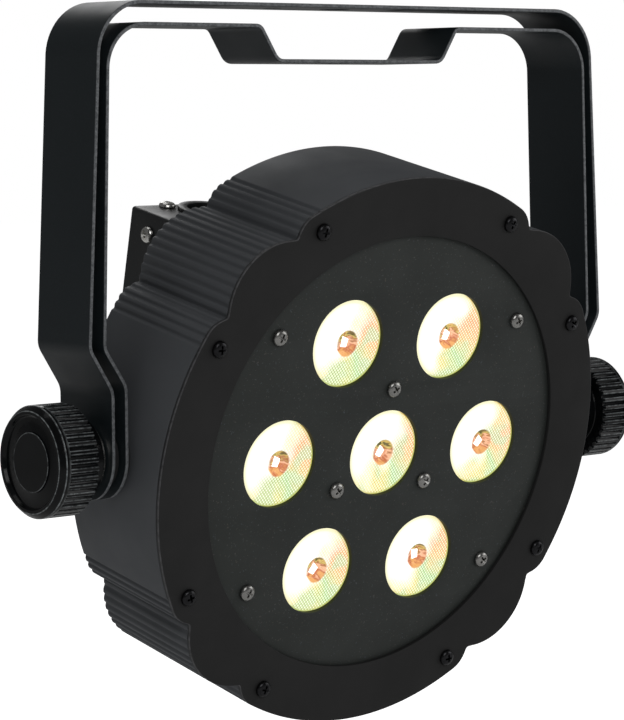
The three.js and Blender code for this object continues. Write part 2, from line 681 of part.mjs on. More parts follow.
function innerYoke() {
  const hangHole = rod(AXIS_Z, HANG_HOLE_R, 110, 160, MIDDLE, 18);
  return cut(yoke(INNER_YOKE, true), hangHole);
}

// ---- Knobs and the clamping stack, modelled on the +X side ------------------------------------

// Turned about Y and then laid along +X.
function turnedX(profile, segments) {
  return turned(profile, segments).rotate([0, 0, -90]);
}

function ribbedKnobShape() {
  const shape = new THREE.Shape();
  for (let i = 0; i < KNOB_RIBS; i += 1) {
    const pitch = 2 * Math.PI / KNOB_RIBS;
    for (const [offset, radius] of [[-0.25, KNOB_R], [0.25, KNOB_R], [0.5, KNOB_R - KNOB_RIB_DEPTH]]) {
      const angle = (i + offset) * pitch;
      const place = [radius * Math.cos(angle), radius * Math.sin(angle)];
      if (i === 0 && offset === -0.25) shape.moveTo(...place);
      else shape.lineTo(...place);
    }
  }
  return shape;
}

function knob() {
  const grip = prismX(ribbedKnobShape(), KNOB_BACK, KNOB_FACE - 3.2);
  const cap = turnedX([
    [0, KNOB_FACE - 4],
    [KNOB_R - 0.1, KNOB_FACE - 4],
    [KNOB_R - 0.1, KNOB_FACE - KNOB_CHAMFER],
    [KNOB_RIM_R, KNOB_FACE],
    [KNOB_RIM_R - 1.3, KNOB_FACE],
    [KNOB_RIM_R - 2, KNOB_FACE - KNOB_FACE_RECESS],
    [KNOB_DISC_R + 0.5, KNOB_FACE - KNOB_FACE_RECESS],
    [KNOB_DISC_R, KNOB_FACE - KNOB_DISC_RECESS],
    [0, KNOB_FACE - KNOB_DISC_RECESS],
  ], 24);
  const hub = rod(AXIS_X, KNOB_HUB_R, KNOB_HUB_BACK, KNOB_BACK + 1, MIDDLE, 20);
  const bore = rod(AXIS_X, STUD_R + GAP, 90, STUD_TIP + GAP, MIDDLE, 12);
  return cut(join(grip, cap, hub), bore);
}

const WASHER_FROM = OUTER_YOKE.armX + GAP;
const KNOB_HUB_BACK = WASHER_FROM + WASHER_T + GAP;

function ring(outerR, innerR, from, to) {
  const outside = rod(AXIS_X, outerR, from, to, MIDDLE, 18);
  return cut(outside, rod(AXIS_X, innerR, from - 1, to + 1, MIDDLE, 12));
}

function stackPieces() {
  const padTo = INNER_YOKE.armX - BAND_T - GAP;
  const spacerTo = OUTER_YOKE.armX - BAND_T - GAP;
  return {
    insert: ring(INSERT_R, STUD_R + GAP, INSERT_INNER, PAD_SEAT - 0.2),
    friction_pad: ring(BOSS_R, STUD_HOLE_R, PAD_SEAT + GAP, padTo),
    spacer: ring(STACK_R, STUD_HOLE_R, INNER_YOKE.armX + GAP, spacerTo),
    washer: ring(STACK_R, STUD_HOLE_R, WASHER_FROM, WASHER_FROM + WASHER_T),
    stud: rod(AXIS_X, STUD_R, STUD_INNER, STUD_TIP, MIDDLE, 12),
    knob: knob(),
  };
}

// ---- Assembly ---------------------------------------------------------------------------------

const group = new THREE.Group();
const head = new THREE.Group();
const frame = new THREE.Group();
head.position.set(0, 0, -TILT_DROP);
head.rotation.x = radians(REST_TILT);
frame.position.set(0, 0, -TILT_DROP);
group.add(head, frame);

function place(parent, name, body, look, position = MIDDLE, rotation = [0, 0, 0]) {
  const mesh = new THREE.Mesh(geometryOf(body), new THREE.MeshStandardMaterial(look));
  mesh.name = name;
  mesh.position.set(...position);
  mesh.rotation.set(...rotation);
  parent.add(mesh);
}

place(head, 'housing', housing(), FINISH.castBlack);
place(head, 'bezel', bezel(), FINISH.bezelBlack);
place(head, 'front_panel', frontPanel(), FINISH.panelBlack);
place(head, 'rear_plate', rearPlate(), FINISH.boxBlack);
lensPlaces().forEach(([x, z], i) => place(head, `lens_${i + 1}`, lens(), FINISH.lens, [x, 0, z]));
place(head, 'led_board', ledBoard(), FINISH.boardWhite);
place(head, 'heat_sink', heatSink(), FINISH.aluminium);

place(head, 'rear_box', rearBox(), FINISH.boxBlack);
place(head, 'power_board', powerBoard(), FINISH.boardGreen);
place(head, 'control_board', controlBoard(), FINISH.boardGreen);
place(head, 'display_window', displayWindow(), FINISH.window);
for (let i = 0; i < 4; i += 1) {
  place(head, `button_${i + 1}`, button(), FINISH.plasticBlack, [buttonX(i), 0, BUTTON_Z]);
}
place(head, 'dmx_in_socket', dmxInSocket(), FINISH.plasticBlack);
place(head, 'dmx_out_socket', dmxOutSocket(), FINISH.plasticBlack);
place(head, 'dmx_out_latch', dmxOutLatch(), FINISH.steel);
place(head, 'power_inlet', powerInlet(), FINISH.plasticBlack);
place(head, 'fuse_holder', fuseHolder(), FINISH.plasticBlack);
place(head, 'fuse_cap', fuseCap(), FINISH.plasticBlack);
place(head, 'safety_eye', safetyEye(), FINISH.steel);

bezelScrewPlaces().forEach(([x, z], i) => {
  place(head, `bezel_screw_${i + 1}`, screw(BEZEL_SHANK), FINISH.blackSteel, [x, BEZEL_FRONT, z]);
});
panelScrewPlaces().forEach(([x, z], i) => {
  place(head, `panel_screw_${i + 1}`, screw(PANEL_SHANK), FINISH.steel, [x, HOUSING_FRONT, z]);
});
const facingUp = [-Math.PI / 2, 0, 0];
const facingLeft = [0, 0, -Math.PI / 2];
[-1, 1].forEach((side, i) => {
  const seat = [side * BOX_TOP_SCREW.x, BOX_TOP_SCREW.y, BOX_TOP];
  place(head, `box_screw_${i + 1}`, screw(BOX_SHANK), FINISH.steel, seat, facingUp);
});
const sideScrew = [-BOX_HALF_W, BOX_SIDE_SCREW.y, BOX_SIDE_SCREW.z];
place(head, 'box_screw_3', screw(BOX_SHANK), FINISH.steel, sideScrew, facingLeft);

place(frame, 'outer_yoke', outerYoke(), FINISH.yokeBlack);
place(frame, 'inner_yoke', innerYoke(), FINISH.yokeBlack);

const stackLooks = {
  insert: FINISH.steel,
  friction_pad: FINISH.rubber,
  spacer: FINISH.nylon,
  washer: FINISH.steel,
  stud: FINISH.steel,
  knob: FINISH.knobBlack,
};
for (const [sideName, turn] of [['right', 0], ['left', Math.PI]]) {
  for (const [name, body] of Object.entries(stackPieces())) {
    const parent = name === 'insert' || name === 'friction_pad' ? head : frame;
    place(parent, `${name}_${sideName}`, body, stackLooks[name], MIDDLE, [0, 0, turn]);
  }
}

export default group;
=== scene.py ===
"""Looks of the slim LED par can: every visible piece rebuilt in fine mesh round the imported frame.

Head pieces are drawn in the head's own frame, in millimetres: X to the right, Y towards the back, Z up,
with the origin on the tilt axis. Yoke, knob and clamping pieces use the same frame without the head's tilt.
"""

import json
import math
import random

import bmesh
import bpy
from mathutils import Matrix, Vector


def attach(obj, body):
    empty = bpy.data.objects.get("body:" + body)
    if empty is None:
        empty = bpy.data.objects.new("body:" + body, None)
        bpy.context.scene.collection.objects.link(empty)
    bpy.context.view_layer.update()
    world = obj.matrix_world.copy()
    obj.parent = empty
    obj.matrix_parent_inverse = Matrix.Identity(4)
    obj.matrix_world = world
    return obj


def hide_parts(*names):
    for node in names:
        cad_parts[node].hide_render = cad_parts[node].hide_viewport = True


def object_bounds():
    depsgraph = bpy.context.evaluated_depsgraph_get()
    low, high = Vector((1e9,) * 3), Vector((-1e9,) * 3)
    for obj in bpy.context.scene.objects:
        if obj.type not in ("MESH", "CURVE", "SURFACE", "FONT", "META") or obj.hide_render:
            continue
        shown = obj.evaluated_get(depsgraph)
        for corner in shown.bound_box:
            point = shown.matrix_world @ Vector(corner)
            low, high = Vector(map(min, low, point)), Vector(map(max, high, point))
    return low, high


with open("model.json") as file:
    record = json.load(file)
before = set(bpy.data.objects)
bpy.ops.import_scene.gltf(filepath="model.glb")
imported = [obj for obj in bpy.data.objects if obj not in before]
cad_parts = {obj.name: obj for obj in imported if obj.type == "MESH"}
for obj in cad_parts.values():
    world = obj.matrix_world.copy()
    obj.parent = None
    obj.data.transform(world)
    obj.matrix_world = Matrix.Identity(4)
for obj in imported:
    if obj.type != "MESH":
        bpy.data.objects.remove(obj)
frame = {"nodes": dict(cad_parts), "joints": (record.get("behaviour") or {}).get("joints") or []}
cad_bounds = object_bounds()

MM = 0.001
joints = {joint["name"]: joint for joint in frame["joints"]}
axis_point = Vector(joints["head_tilt"]["pos_m"])
press = Vector(joints["button_1_press"]["axis"])
REST_TILT = math.atan2(-press.z, -press.y)

YOKE = Matrix.Translation(axis_point) @ Matrix.Scale(MM, 4)
HEAD = Matrix.Translation(axis_point) @ Matrix.Rotation(REST_TILT, 4, "X") @ Matrix.Scale(MM, 4)

# ---- Driving dimensions, millimetres ------------------------------------------------------------

GAP = 0.3
THINNEST = 1e-6
OUTLINE_R = 94.3
CORNER_ANGLE = math.radians(29)
CORNER_R = 9
LOBE_DISTANCE = 74.9
LOBE_R = 21.9
NOTCH_BLEND = 1.6
RIB_FROM = 25
RIBS_PER_DIAGONAL = 22
RIB_DEPTH = 0.75
SMOOTH_STEP = 0.5

BEZEL_FRONT = -26.4
BEZEL_BACK = BEZEL_FRONT + 1.2
HOUSING_FRONT = BEZEL_BACK + GAP
HOUSING_BACK = 22.3
HOUSING_WALL = 3.5
FLANGE_THICK = 3
PANEL_BACK = HOUSING_FRONT + 2
LENS_FRONT = -24.2
BEZEL_OPENING_R = 74.65
PANEL_R = 78.7
LENS_PITCH = 45
LENS_R = 14.3
LENS_HOLE_R = 14.8
LENS_FLANGE_R = 16.6
LENS_FOOT_R = 3.4
BOARD_FRONT = -5.5
BEZEL_SCREW = (41.1, 77.5)
PANEL_SCREW = (52.2, 43.0)
PANEL_SCREW_INNER_R = 22.35
SCREW_R = 1.4
SCREW_HEAD_R = 2.85
SCREW_HEAD_H = 1.5
SCREW_HOLE_R = 1.7

REAR_PLATE_T = 2
CABLE_HOLE_Z = 10
CABLE_HOLE_R = 18
VENT_X = 66
VENT_PITCH = 5.2
VENT_SIZE = (3, 28)

BOX_HALF_W = 59
BOX_TOP = 68.4
BOX_BOTTOM = -52
BOX_FRONT = HOUSING_BACK + GAP
BOX_BACK = 51
SHEET = 1.5
SOCKET_Y = 37
SOCKET_R = 10.5
DMX_X = 35
DISPLAY_Z = 30
DISPLAY_SIZE = (36, 15)
BUTTON_Z = 10
BUTTON_PITCH = 13
BUTTON_R = 3
INLET_X = -22
INLET_SIZE = (27, 20)
FUSE_X = 24
FUSE_R = 6.5
CUP_FLOOR = 52
SOCKET_BOTTOM = 46
PIN_RING_R = 5.5
INSERT_R = 7.4
BOX_SCREWS = (("Z", (-47, 47, BOX_TOP)), ("Z", (47, 47, BOX_TOP)), ("X", (-BOX_HALF_W, 40, 61)))
LIT_BARS = {0: "abcdef", 1: "bc"}

BAND_HALF = 14
BAND_T = 1.2
BAND_STEP = 4
# Inset of the extra points on the yoke's faces that keep the painted edge highlight off the faces.
HIGHLIGHT_BAND = 0.6
OUTER_YOKE = dict(arm=104.15, low=21.4, high=34.9, wide=112.7, top=108.2, bar=143.4, corner=18)
INNER_YOKE = dict(arm=98.98, low=22.7, high=34.9, wide=107.1, top=104.6, bar=136.6, corner=15)
DROP = dict(depth=11.3, outer=42.6, inner=35.4)
HANG_HOLE_R = 5.25
SIDE_HOLE_R = 3.25
SIDE_HOLE_X = 27

STUD_R = 4
STUD_HOLE_R = 4.5
STUD_INNER = 81
STUD_TIP = 117.7
THREAD_PITCH = 1.25
WASHER_X = (104.45, 106.05)
SPACER_X = (99.28, 102.65)
PAD_X = (95.7, 97.48)
WASHER_R = 11
PAD_R = 12

KNOB_BACK = 111.6
KNOB_FACE = 126
KNOB_R = 17.9
KNOB_RIBS = 40
KNOB_RIM_R = 16.2
KNOB_DISC_R = 9.5
KNOB_HUB_R = 13
KNOB_HUB_BACK = WASHER_X[1] + GAP

# ---- Studio, metres and watts -------------------------------------------------------------------

FLOOR_DROP = 0.12
FLOOR_REACH = 6
# Each lamp: name, offset from the model's middle, size and power.
LAMPS = (
    ("key", (-0.6, -1.1, 0.7), (0.7, 0.7), 4.8),
    ("fill", (1.1, -0.8, 0.35), (0.8, 0.8), 3.6),
    ("top", (-0.1, 0.25, 1.1), (0.9, 0.6), 1.35),
    ("rear", (0.5, 1.2, 0.8), (0.7, 0.7), 3.0),
)

# ---- Mesh helpers -------------------------------------------------------------------------------


def make_mesh(name, vertices, faces, sharp=35):
    """A mesh from points and faces, welded, facing out and smooth up to the given angle in degrees."""
    mesh = bpy.data.meshes.new(name)
    mesh.from_pydata(vertices, [], faces)
    return clean(mesh, sharp)


def clean(mesh, sharp=35):
    work = bmesh.new()
    work.from_mesh(mesh)
    bmesh.ops.remove_doubles(work, verts=work.verts, dist=1e-4)
    bmesh.ops.recalc_face_normals(work, faces=work.faces)
    work.to_mesh(mesh)
    work.free()
    return smoothed(mesh, sharp)


def smoothed(mesh, sharp):
    """Smooth shading up to the given angle in degrees."""
    mesh.shade_smooth()
    mesh.set_sharp_from_angle(angle=math.radians(sharp))
    return mesh


def stored(mesh, name, values):
    """Stores one number for each point, which the materials read."""
    mesh.attributes.new(name, "FLOAT", "POINT").data.foreach_set("value", values)
    return mesh


def moved(mesh, x, y, z):
    mesh.transform(Matrix.Translation((x, y, z)))
    return mesh


def on_circle(radius, angle):
    return radius * math.cos(angle), radius * math.sin(angle)


def place(name, mesh, matrix, body, look, slot, *nodes):
    """Bakes the matrix into the mesh, gives it its material and makes it ride on its body."""
    mesh.transform(matrix)
    piece = bpy.data.objects.new(name, mesh)
    bpy.context.scene.collection.objects.link(piece)
    mesh.materials.clear()
    mesh.materials.append(MAT[look])
    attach(piece, body)
    if nodes:
        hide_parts(*nodes)


def bridge(rings, closed=False, caps=(False, False)):
    """Points and faces of a skin over rings of equal length; caps close the first and last ring."""
    count = len(rings[0])
    vertices = [point for ring in rings for point in ring]
    faces = []
    spans = len(rings) if closed else len(rings) - 1
    for i in range(spans):
        here, there = i * count, ((i + 1) % len(rings)) * count
        for j in range(count):
            k = (j + 1) % count
            faces.append((here + j, here + k, there + k, there + j))
    if caps[0]:
        faces.append(tuple(range(count)))
    if caps[1]:
        faces.append(tuple(range((len(rings) - 1) * count, len(rings) * count)))
    return vertices, faces


def revolved(profile, segments, axis):
    """Rings round an axis, one for each (radius, height) pair."""
    rings = []
    for radius, height in profile:
        ring = []
        for i in range(segments):
            across, up = on_circle(max(radius, THINNEST), 2 * math.pi * i / segments)
            points = {"X": (height, across, up), "Y": (across, height, up), "Z": (across, up, height)}
            ring.append(points[axis])
        rings.append(ring)
    return rings


def turned(name, profile, segments=64, axis="Y", sharp=35):
    """A body of revolution from (radius, height) pairs; a radius of 0 closes it on the axis."""
    ends = (profile[0][0] > 0, profile[-1][0] > 0)
    return make_mesh(name, *bridge(revolved(profile, segments, axis), caps=ends), sharp=sharp)


def closed_turned(name, profile, segments=64, axis="Y"):
    """A ring of revolution whose (radius, height) profile closes on itself."""
    return make_mesh(name, *bridge(revolved(profile, segments, axis), closed=True))


def circle(x, y, radius, segments=48):
    ring = [on_circle(radius, 2 * math.pi * i / segments) for i in range(segments)]
    return [(x + across, y + up) for across, up in ring]


def round_rectangle(x, y, width, height, radius=1.0, steps=5):
    points = []
    corners = ((1, 1, 0), (-1, 1, 90), (-1, -1, 180), (1, -1, 270))
    for side_x, side_y, start in corners:
        for i in range(steps + 1):
            across, up = on_circle(radius, math.radians(start + 90 * i / steps))
            centre_x = x + side_x * (width / 2 - radius)
            centre_y = y + side_y * (height / 2 - radius)
            points.append((centre_x + across, centre_y + up))
    return points


def plate(name, loops, thickness, bevel=0.2):
    """A flat plate in XY with its holes, centred on z = 0, its edges rounded by the bevel."""
    curve = bpy.data.curves.new(name, "CURVE")
    curve.dimensions = "2D"
    curve.fill_mode = "BOTH"
    curve.extrude = thickness / 2 - bevel
    curve.bevel_depth = bevel
    curve.bevel_resolution = 2
    curve.offset = -bevel
    for loop in loops:
        spline = curve.splines.new("POLY")
        spline.points.add(len(loop) - 1)
        for point, (x, y) in zip(spline.points, loop):
            point.co = (x, y, 0, 1)
        spline.use_cyclic_u = True
    holder = bpy.data.objects.new(name, curve)
    mesh = bpy.data.meshes.new_from_object(holder)
    bpy.data.objects.remove(holder)
    bpy.data.curves.remove(curve)
    return clean(mesh)


def facing_y(offset):
    """Matrix that stands a plate drawn in XY up across the Y axis, at that distance along it."""
    return Matrix.Translation((0, offset, 0)) @ Matrix.Rotation(math.pi / 2, 4, "X")


def merged(name, meshes):
    """One mesh from several."""
    work = bmesh.new()
    for part in meshes:
        work.from_mesh(part)
        bpy.data.meshes.remove(part)
    mesh = bpy.data.meshes.new(name)
    work.to_mesh(mesh)
    work.free()
    return smoothed(mesh, 35)


def carved(mesh, cutters, sharp=35):
    """The mesh with every cutter mesh taken out of it."""
    body = bpy.data.objects.new("carved", mesh)
    tool_mesh = merged("cutters", cutters)
    tool = bpy.data.objects.new("cutters", tool_mesh)
    for item in (body, tool):
        bpy.context.scene.collection.objects.link(item)
    boolean = body.modifiers.new("carve", "BOOLEAN")
    boolean.operation = "DIFFERENCE"
    boolean.solver = "EXACT"
    boolean.use_self = True
    boolean.object = tool
    graph = bpy.context.evaluated_depsgraph_get()
    result = bpy.data.meshes.new_from_object(body.evaluated_get(graph), depsgraph=graph)
    bpy.data.objects.remove(body)
    bpy.data.objects.remove(tool)
    bpy.data.meshes.remove(tool_mesh)
    return smoothed(result, sharp)


def cutter(axis, spot, radius, reach):
    """A round cutter along an axis, reaching that far either side of the spot."""
    profile = [(0, -reach), (radius, -reach), (radius, reach), (0, reach)]
    return moved(turned("hole", profile, 40, axis), *spot)


def block(low, high, bevel=0.2):
    """A block between two corners with rounded edges."""
    mesh = bpy.data.meshes.new("block")
    work = bmesh.new()
    bmesh.ops.create_cube(work, size=1)
    size = Vector(high) - Vector(low)
    middle = (Vector(high) + Vector(low)) / 2
    fitted = Matrix.Translation(middle) @ Matrix.Diagonal((*size, 1))
    bmesh.ops.transform(work, matrix=fitted, verts=work.verts)
    if bevel:
        bmesh.ops.bevel(work, geom=work.edges[:], offset=bevel, segments=2, affect="EDGES", profile=0.5)
    work.to_mesh(mesh)
    work.free()
    return smoothed(mesh, 50)


# ---- Outline of the head ------------------------------------------------------------------------


def ray_out_of(centre_x, centre_z, radius, angle):
    along = centre_x * math.cos(angle) + centre_z * math.sin(angle)
    spread = along * along - (centre_x ** 2 + centre_z ** 2 - radius ** 2)
    return along + math.sqrt(spread) if spread > 0 else -1.0


def outline_radius(angle):
    quarter = math.pi / 2
    from_axis = angle % quarter
    u = min(from_axis, quarter - from_axis)
    corner_x = (OUTLINE_R - CORNER_R) * math.cos(CORNER_ANGLE)
    corner_z = (OUTLINE_R - CORNER_R) * math.sin(CORNER_ANGLE)
    base = OUTLINE_R if u <= CORNER_ANGLE else ray_out_of(corner_x, corner_z, CORNER_R, u)
    if u < CORNER_ANGLE - math.radians(6):
        return base
    lobe_place = LOBE_DISTANCE * math.sqrt(0.5)
    lobe = ray_out_of(lobe_place, lobe_place, LOBE_R, u)
    return 0.5 * (base + lobe + math.hypot(base - lobe, NOTCH_BLEND))


def rib_groove(angle):
    """Share of the rib depth taken away at this angle."""
    degrees = math.degrees(angle) % 90
    pitch = (90 - 2 * RIB_FROM) / RIBS_PER_DIAGONAL
    steps = (degrees - RIB_FROM) / pitch
    nearest = round(steps)
    if nearest < 1 or nearest > RIBS_PER_DIAGONAL - 1:
        return 0.0
    offset = abs(steps - nearest) / 0.4
    return math.cos(math.pi / 2 * offset) ** 2 if offset < 1 else 0.0


def head_angles(rib_steps=12):
    """Angles round the head: even over the smooth arcs, fine over the ribs of each diagonal."""
    angles = []
    span = 90 - 2 * RIB_FROM
    for quarter in range(4):
        start = 90 * quarter
        count = int(2 * RIB_FROM / SMOOTH_STEP)
        angles += [start - RIB_FROM + 2 * RIB_FROM * i / count for i in range(count)]
        count = RIBS_PER_DIAGONAL * rib_steps
        angles += [start + RIB_FROM + span * i / count for i in range(count)]
    return [math.radians(angle) for angle in angles]


def outline_ring(angles, y, inset, ribs=0.0):
    ring = []
    for angle in angles:
        radius = outline_radius(angle) - inset - ribs * RIB_DEPTH * rib_groove(angle)
        ring.append((radius * math.cos(angle), y, radius * math.sin(angle)))
    return ring


def round_ring(angles, y, radius):
    return [(radius * math.cos(angle), y, radius * math.sin(angle)) for angle in angles]


# ---- Materials ----------------------------------------------------------------------------------


class Nodes:
    """A small helper that adds shader nodes and links them."""

    def __init__(self, name):
        self.material = bpy.data.materials.new(name)
        self.material.use_nodes = True
        self.tree = self.material.node_tree
        self.shader = self.tree.nodes["Principled BSDF"]

    def add(self, kind, **values):
        node = self.tree.nodes.new(kind)
        for key, value in values.items():
            setattr(node, key, value)
        return node

    def link(self, source, target):
        self.tree.links.new(source, target)

    def feed(self, name, source):
        self.link(source, self.shader.inputs[name])

    def coordinates(self):
        return self.add("ShaderNodeTexCoord").outputs["Object"]

    def noise(self, scale, detail=2.0, roughness=0.5, vector=None):
        node = self.add("ShaderNodeTexNoise")
        node.inputs["Scale"].default_value = scale
        node.inputs["Detail"].default_value = detail
        node.inputs["Roughness"].default_value = roughness
        self.link(vector or self.coordinates(), node.inputs["Vector"])
        return node.outputs["Fac"]

    def ramp(self, source, stops):
        node = self.add("ShaderNodeValToRGB")
        elements = node.color_ramp.elements
        while len(elements) < len(stops):
            elements.new(0.5)
        for element, (position, color) in zip(elements, stops):
            element.position = position
            element.color = (*color, 1)
        self.link(source, node.inputs["Fac"])
        return node.outputs["Color"]

    def span(self, source, low, high, to_low=0.0, to_high=1.0):
        node = self.add("ShaderNodeMapRange")
        node.inputs["From Min"].default_value = low
        node.inputs["From Max"].default_value = high
        node.inputs["To Min"].default_value = to_low
        node.inputs["To Max"].default_value = to_high
        self.link(source, node.inputs["Value"])
        return node.outputs["Result"]

    def math(self, operation, first, second=None):
        node = self.add("ShaderNodeMath", operation=operation)
        for socket, value in zip(node.inputs, (first, second)):
            if value is None:
                continue
            if isinstance(value, (int, float)):
                socket.default_value = value
            else:
                self.link(value, socket)
        return node.outputs["Value"]

    def plus(self, first, second):
        return self.math("ADD", first, second)

    def times(self, first, second):
        return self.math("MULTIPLY", first, second)

    def edge_highlight(self, scale, low, high, least):
        """Weight of the painted edge highlight stored on the mesh, broken up by noise of that scale."""
        weight = self.add("ShaderNodeAttribute", attribute_name="edge").outputs["Fac"]
        return self.times(weight, self.span(self.noise(scale, 3, 0.7), low, high, least, 1))

    def mix(self, factor, first, second, blend="MIX"):
        node = self.add("ShaderNodeMix", data_type="RGBA", blend_type=blend)
        values = ((node.inputs[0], factor), (node.inputs[6], first), (node.inputs[7], second))
        for socket, value in values:
            if isinstance(value, (int, float)):
                socket.default_value = value
            elif isinstance(value, tuple):
                socket.default_value = (*value, 1)
            else:
                self.link(value, socket)
        return node.outputs[2]

    def bump(self, height, strength, distance):
        node = self.add("ShaderNodeBump")
        node.inputs["Strength"].default_value = strength
        node.inputs["Distance"].default_value = distance
        self.link(height, node.inputs["Height"])
        self.feed("Normal", node.outputs["Normal"])


def scaled(color, factor):
    return tuple(channel * factor for channel in color)


def powder_coat(name, color, variation, roughness, grain, grain_strength,
                specular=0.5, specks=None, edge=None):
    """Painted metal: fine grain, slow colour drift, patches of different gloss and optional specks."""
    nodes = Nodes(name)
    base = nodes.ramp(nodes.noise(38, 3), [
        (0.3, scaled(color, 1 - variation)), (0.7, scaled(color, 1 + variation)),
    ])
    if specks:
        amount, speck_color = specks
        mask = nodes.span(nodes.noise(1500, 1, 0.6), 1 - amount, 1 - amount + 0.06)
        tinted = nodes.ramp(nodes.noise(520, 0), [(0.35, speck_color), (0.65, tuple(reversed(speck_color)))])
        base = nodes.mix(mask, base, tinted)
    # Optional painted highlight: edges weighted on the mesh are mixed towards the paler edge colour.
    if edge:
        base = nodes.mix(nodes.edge_highlight(500, 0.3, 0.6, 0.3), base, edge)
    nodes.feed("Base Color", base)
    nodes.feed("Roughness", nodes.span(nodes.noise(90, 4), 0.3, 0.7, roughness - 0.06, roughness + 0.06))
    nodes.shader.inputs["Specular IOR Level"].default_value = specular
    nodes.bump(nodes.noise(grain, 2, 0.6), grain_strength, 0.00012)
    return nodes.material


def yoke_coat():
    """Gritty satin coat whose rolled edges carry a painted pale highlight, by the edge weight stored on the
    mesh.
    """
    nodes = Nodes("yoke_powder_coat")
    base = nodes.ramp(nodes.noise(30, 3), [(0.3, (0.0125, 0.0172, 0.0196)), (0.7, (0.0145, 0.0198, 0.0228))])
    grit = nodes.noise(2600, 2, 0.7)
    base = nodes.mix(nodes.span(grit, 0.55, 0.72, 0, 0.5), base, (0.033, 0.042, 0.047))
    # Painted highlight: the rolled edges are mixed towards a pale grey.
    painted_highlight = nodes.times(nodes.edge_highlight(900, 0.36, 0.62, 0.4), 0.95)
    nodes.feed("Base Color", nodes.mix(painted_highlight, base, (0.2, 0.208, 0.218)))
    nodes.feed("Roughness", nodes.span(nodes.noise(60, 4), 0.3, 0.7, 0.36, 0.48))
    nodes.shader.inputs["Specular IOR Level"].default_value = 0.25
    nodes.bump(grit, 0.12, 0.0001)
    return nodes.material


def gloss_plastic(name, color, roughness, grain=0.06, specular=0.5, edge=None):
    """Moulded plastic with faint scuffs; edges weighted on the mesh get a painted highlight line."""
    nodes = Nodes(name)
    base = nodes.ramp(nodes.noise(120, 3), [(0.35, scaled(color, 0.7)), (0.65, scaled(color, 1.4))])
    # Optional painted highlight: edges weighted on the mesh are mixed towards the paler edge colour.
    if edge:
        base = nodes.mix(nodes.edge_highlight(420, 0.38, 0.62, 0.15), base, edge)
    nodes.feed("Base Color", base)
    nodes.feed("Roughness", nodes.span(nodes.noise(900, 3, 0.65), 0.4, 0.75, roughness, roughness + 0.2))
    nodes.shader.inputs["Specular IOR Level"].default_value = specular
    nodes.bump(nodes.noise(700, 2), grain, 0.0001)
    return nodes.material


def metal(name, color, roughness):
    nodes = Nodes(name)
    nodes.shader.inputs["Metallic"].default_value = 1.0
    nodes.feed("Base Color", nodes.ramp(nodes.noise(260, 3), [(0.3, scaled(color, 0.75)), (0.7, color)]))
    fine = nodes.noise(1400, 3, 0.7)
    nodes.feed("Roughness", nodes.span(fine, 0.3, 0.7, roughness - 0.05, roughness + 0.1))
    nodes.bump(fine, 0.1, 0.0001)
    return nodes.material


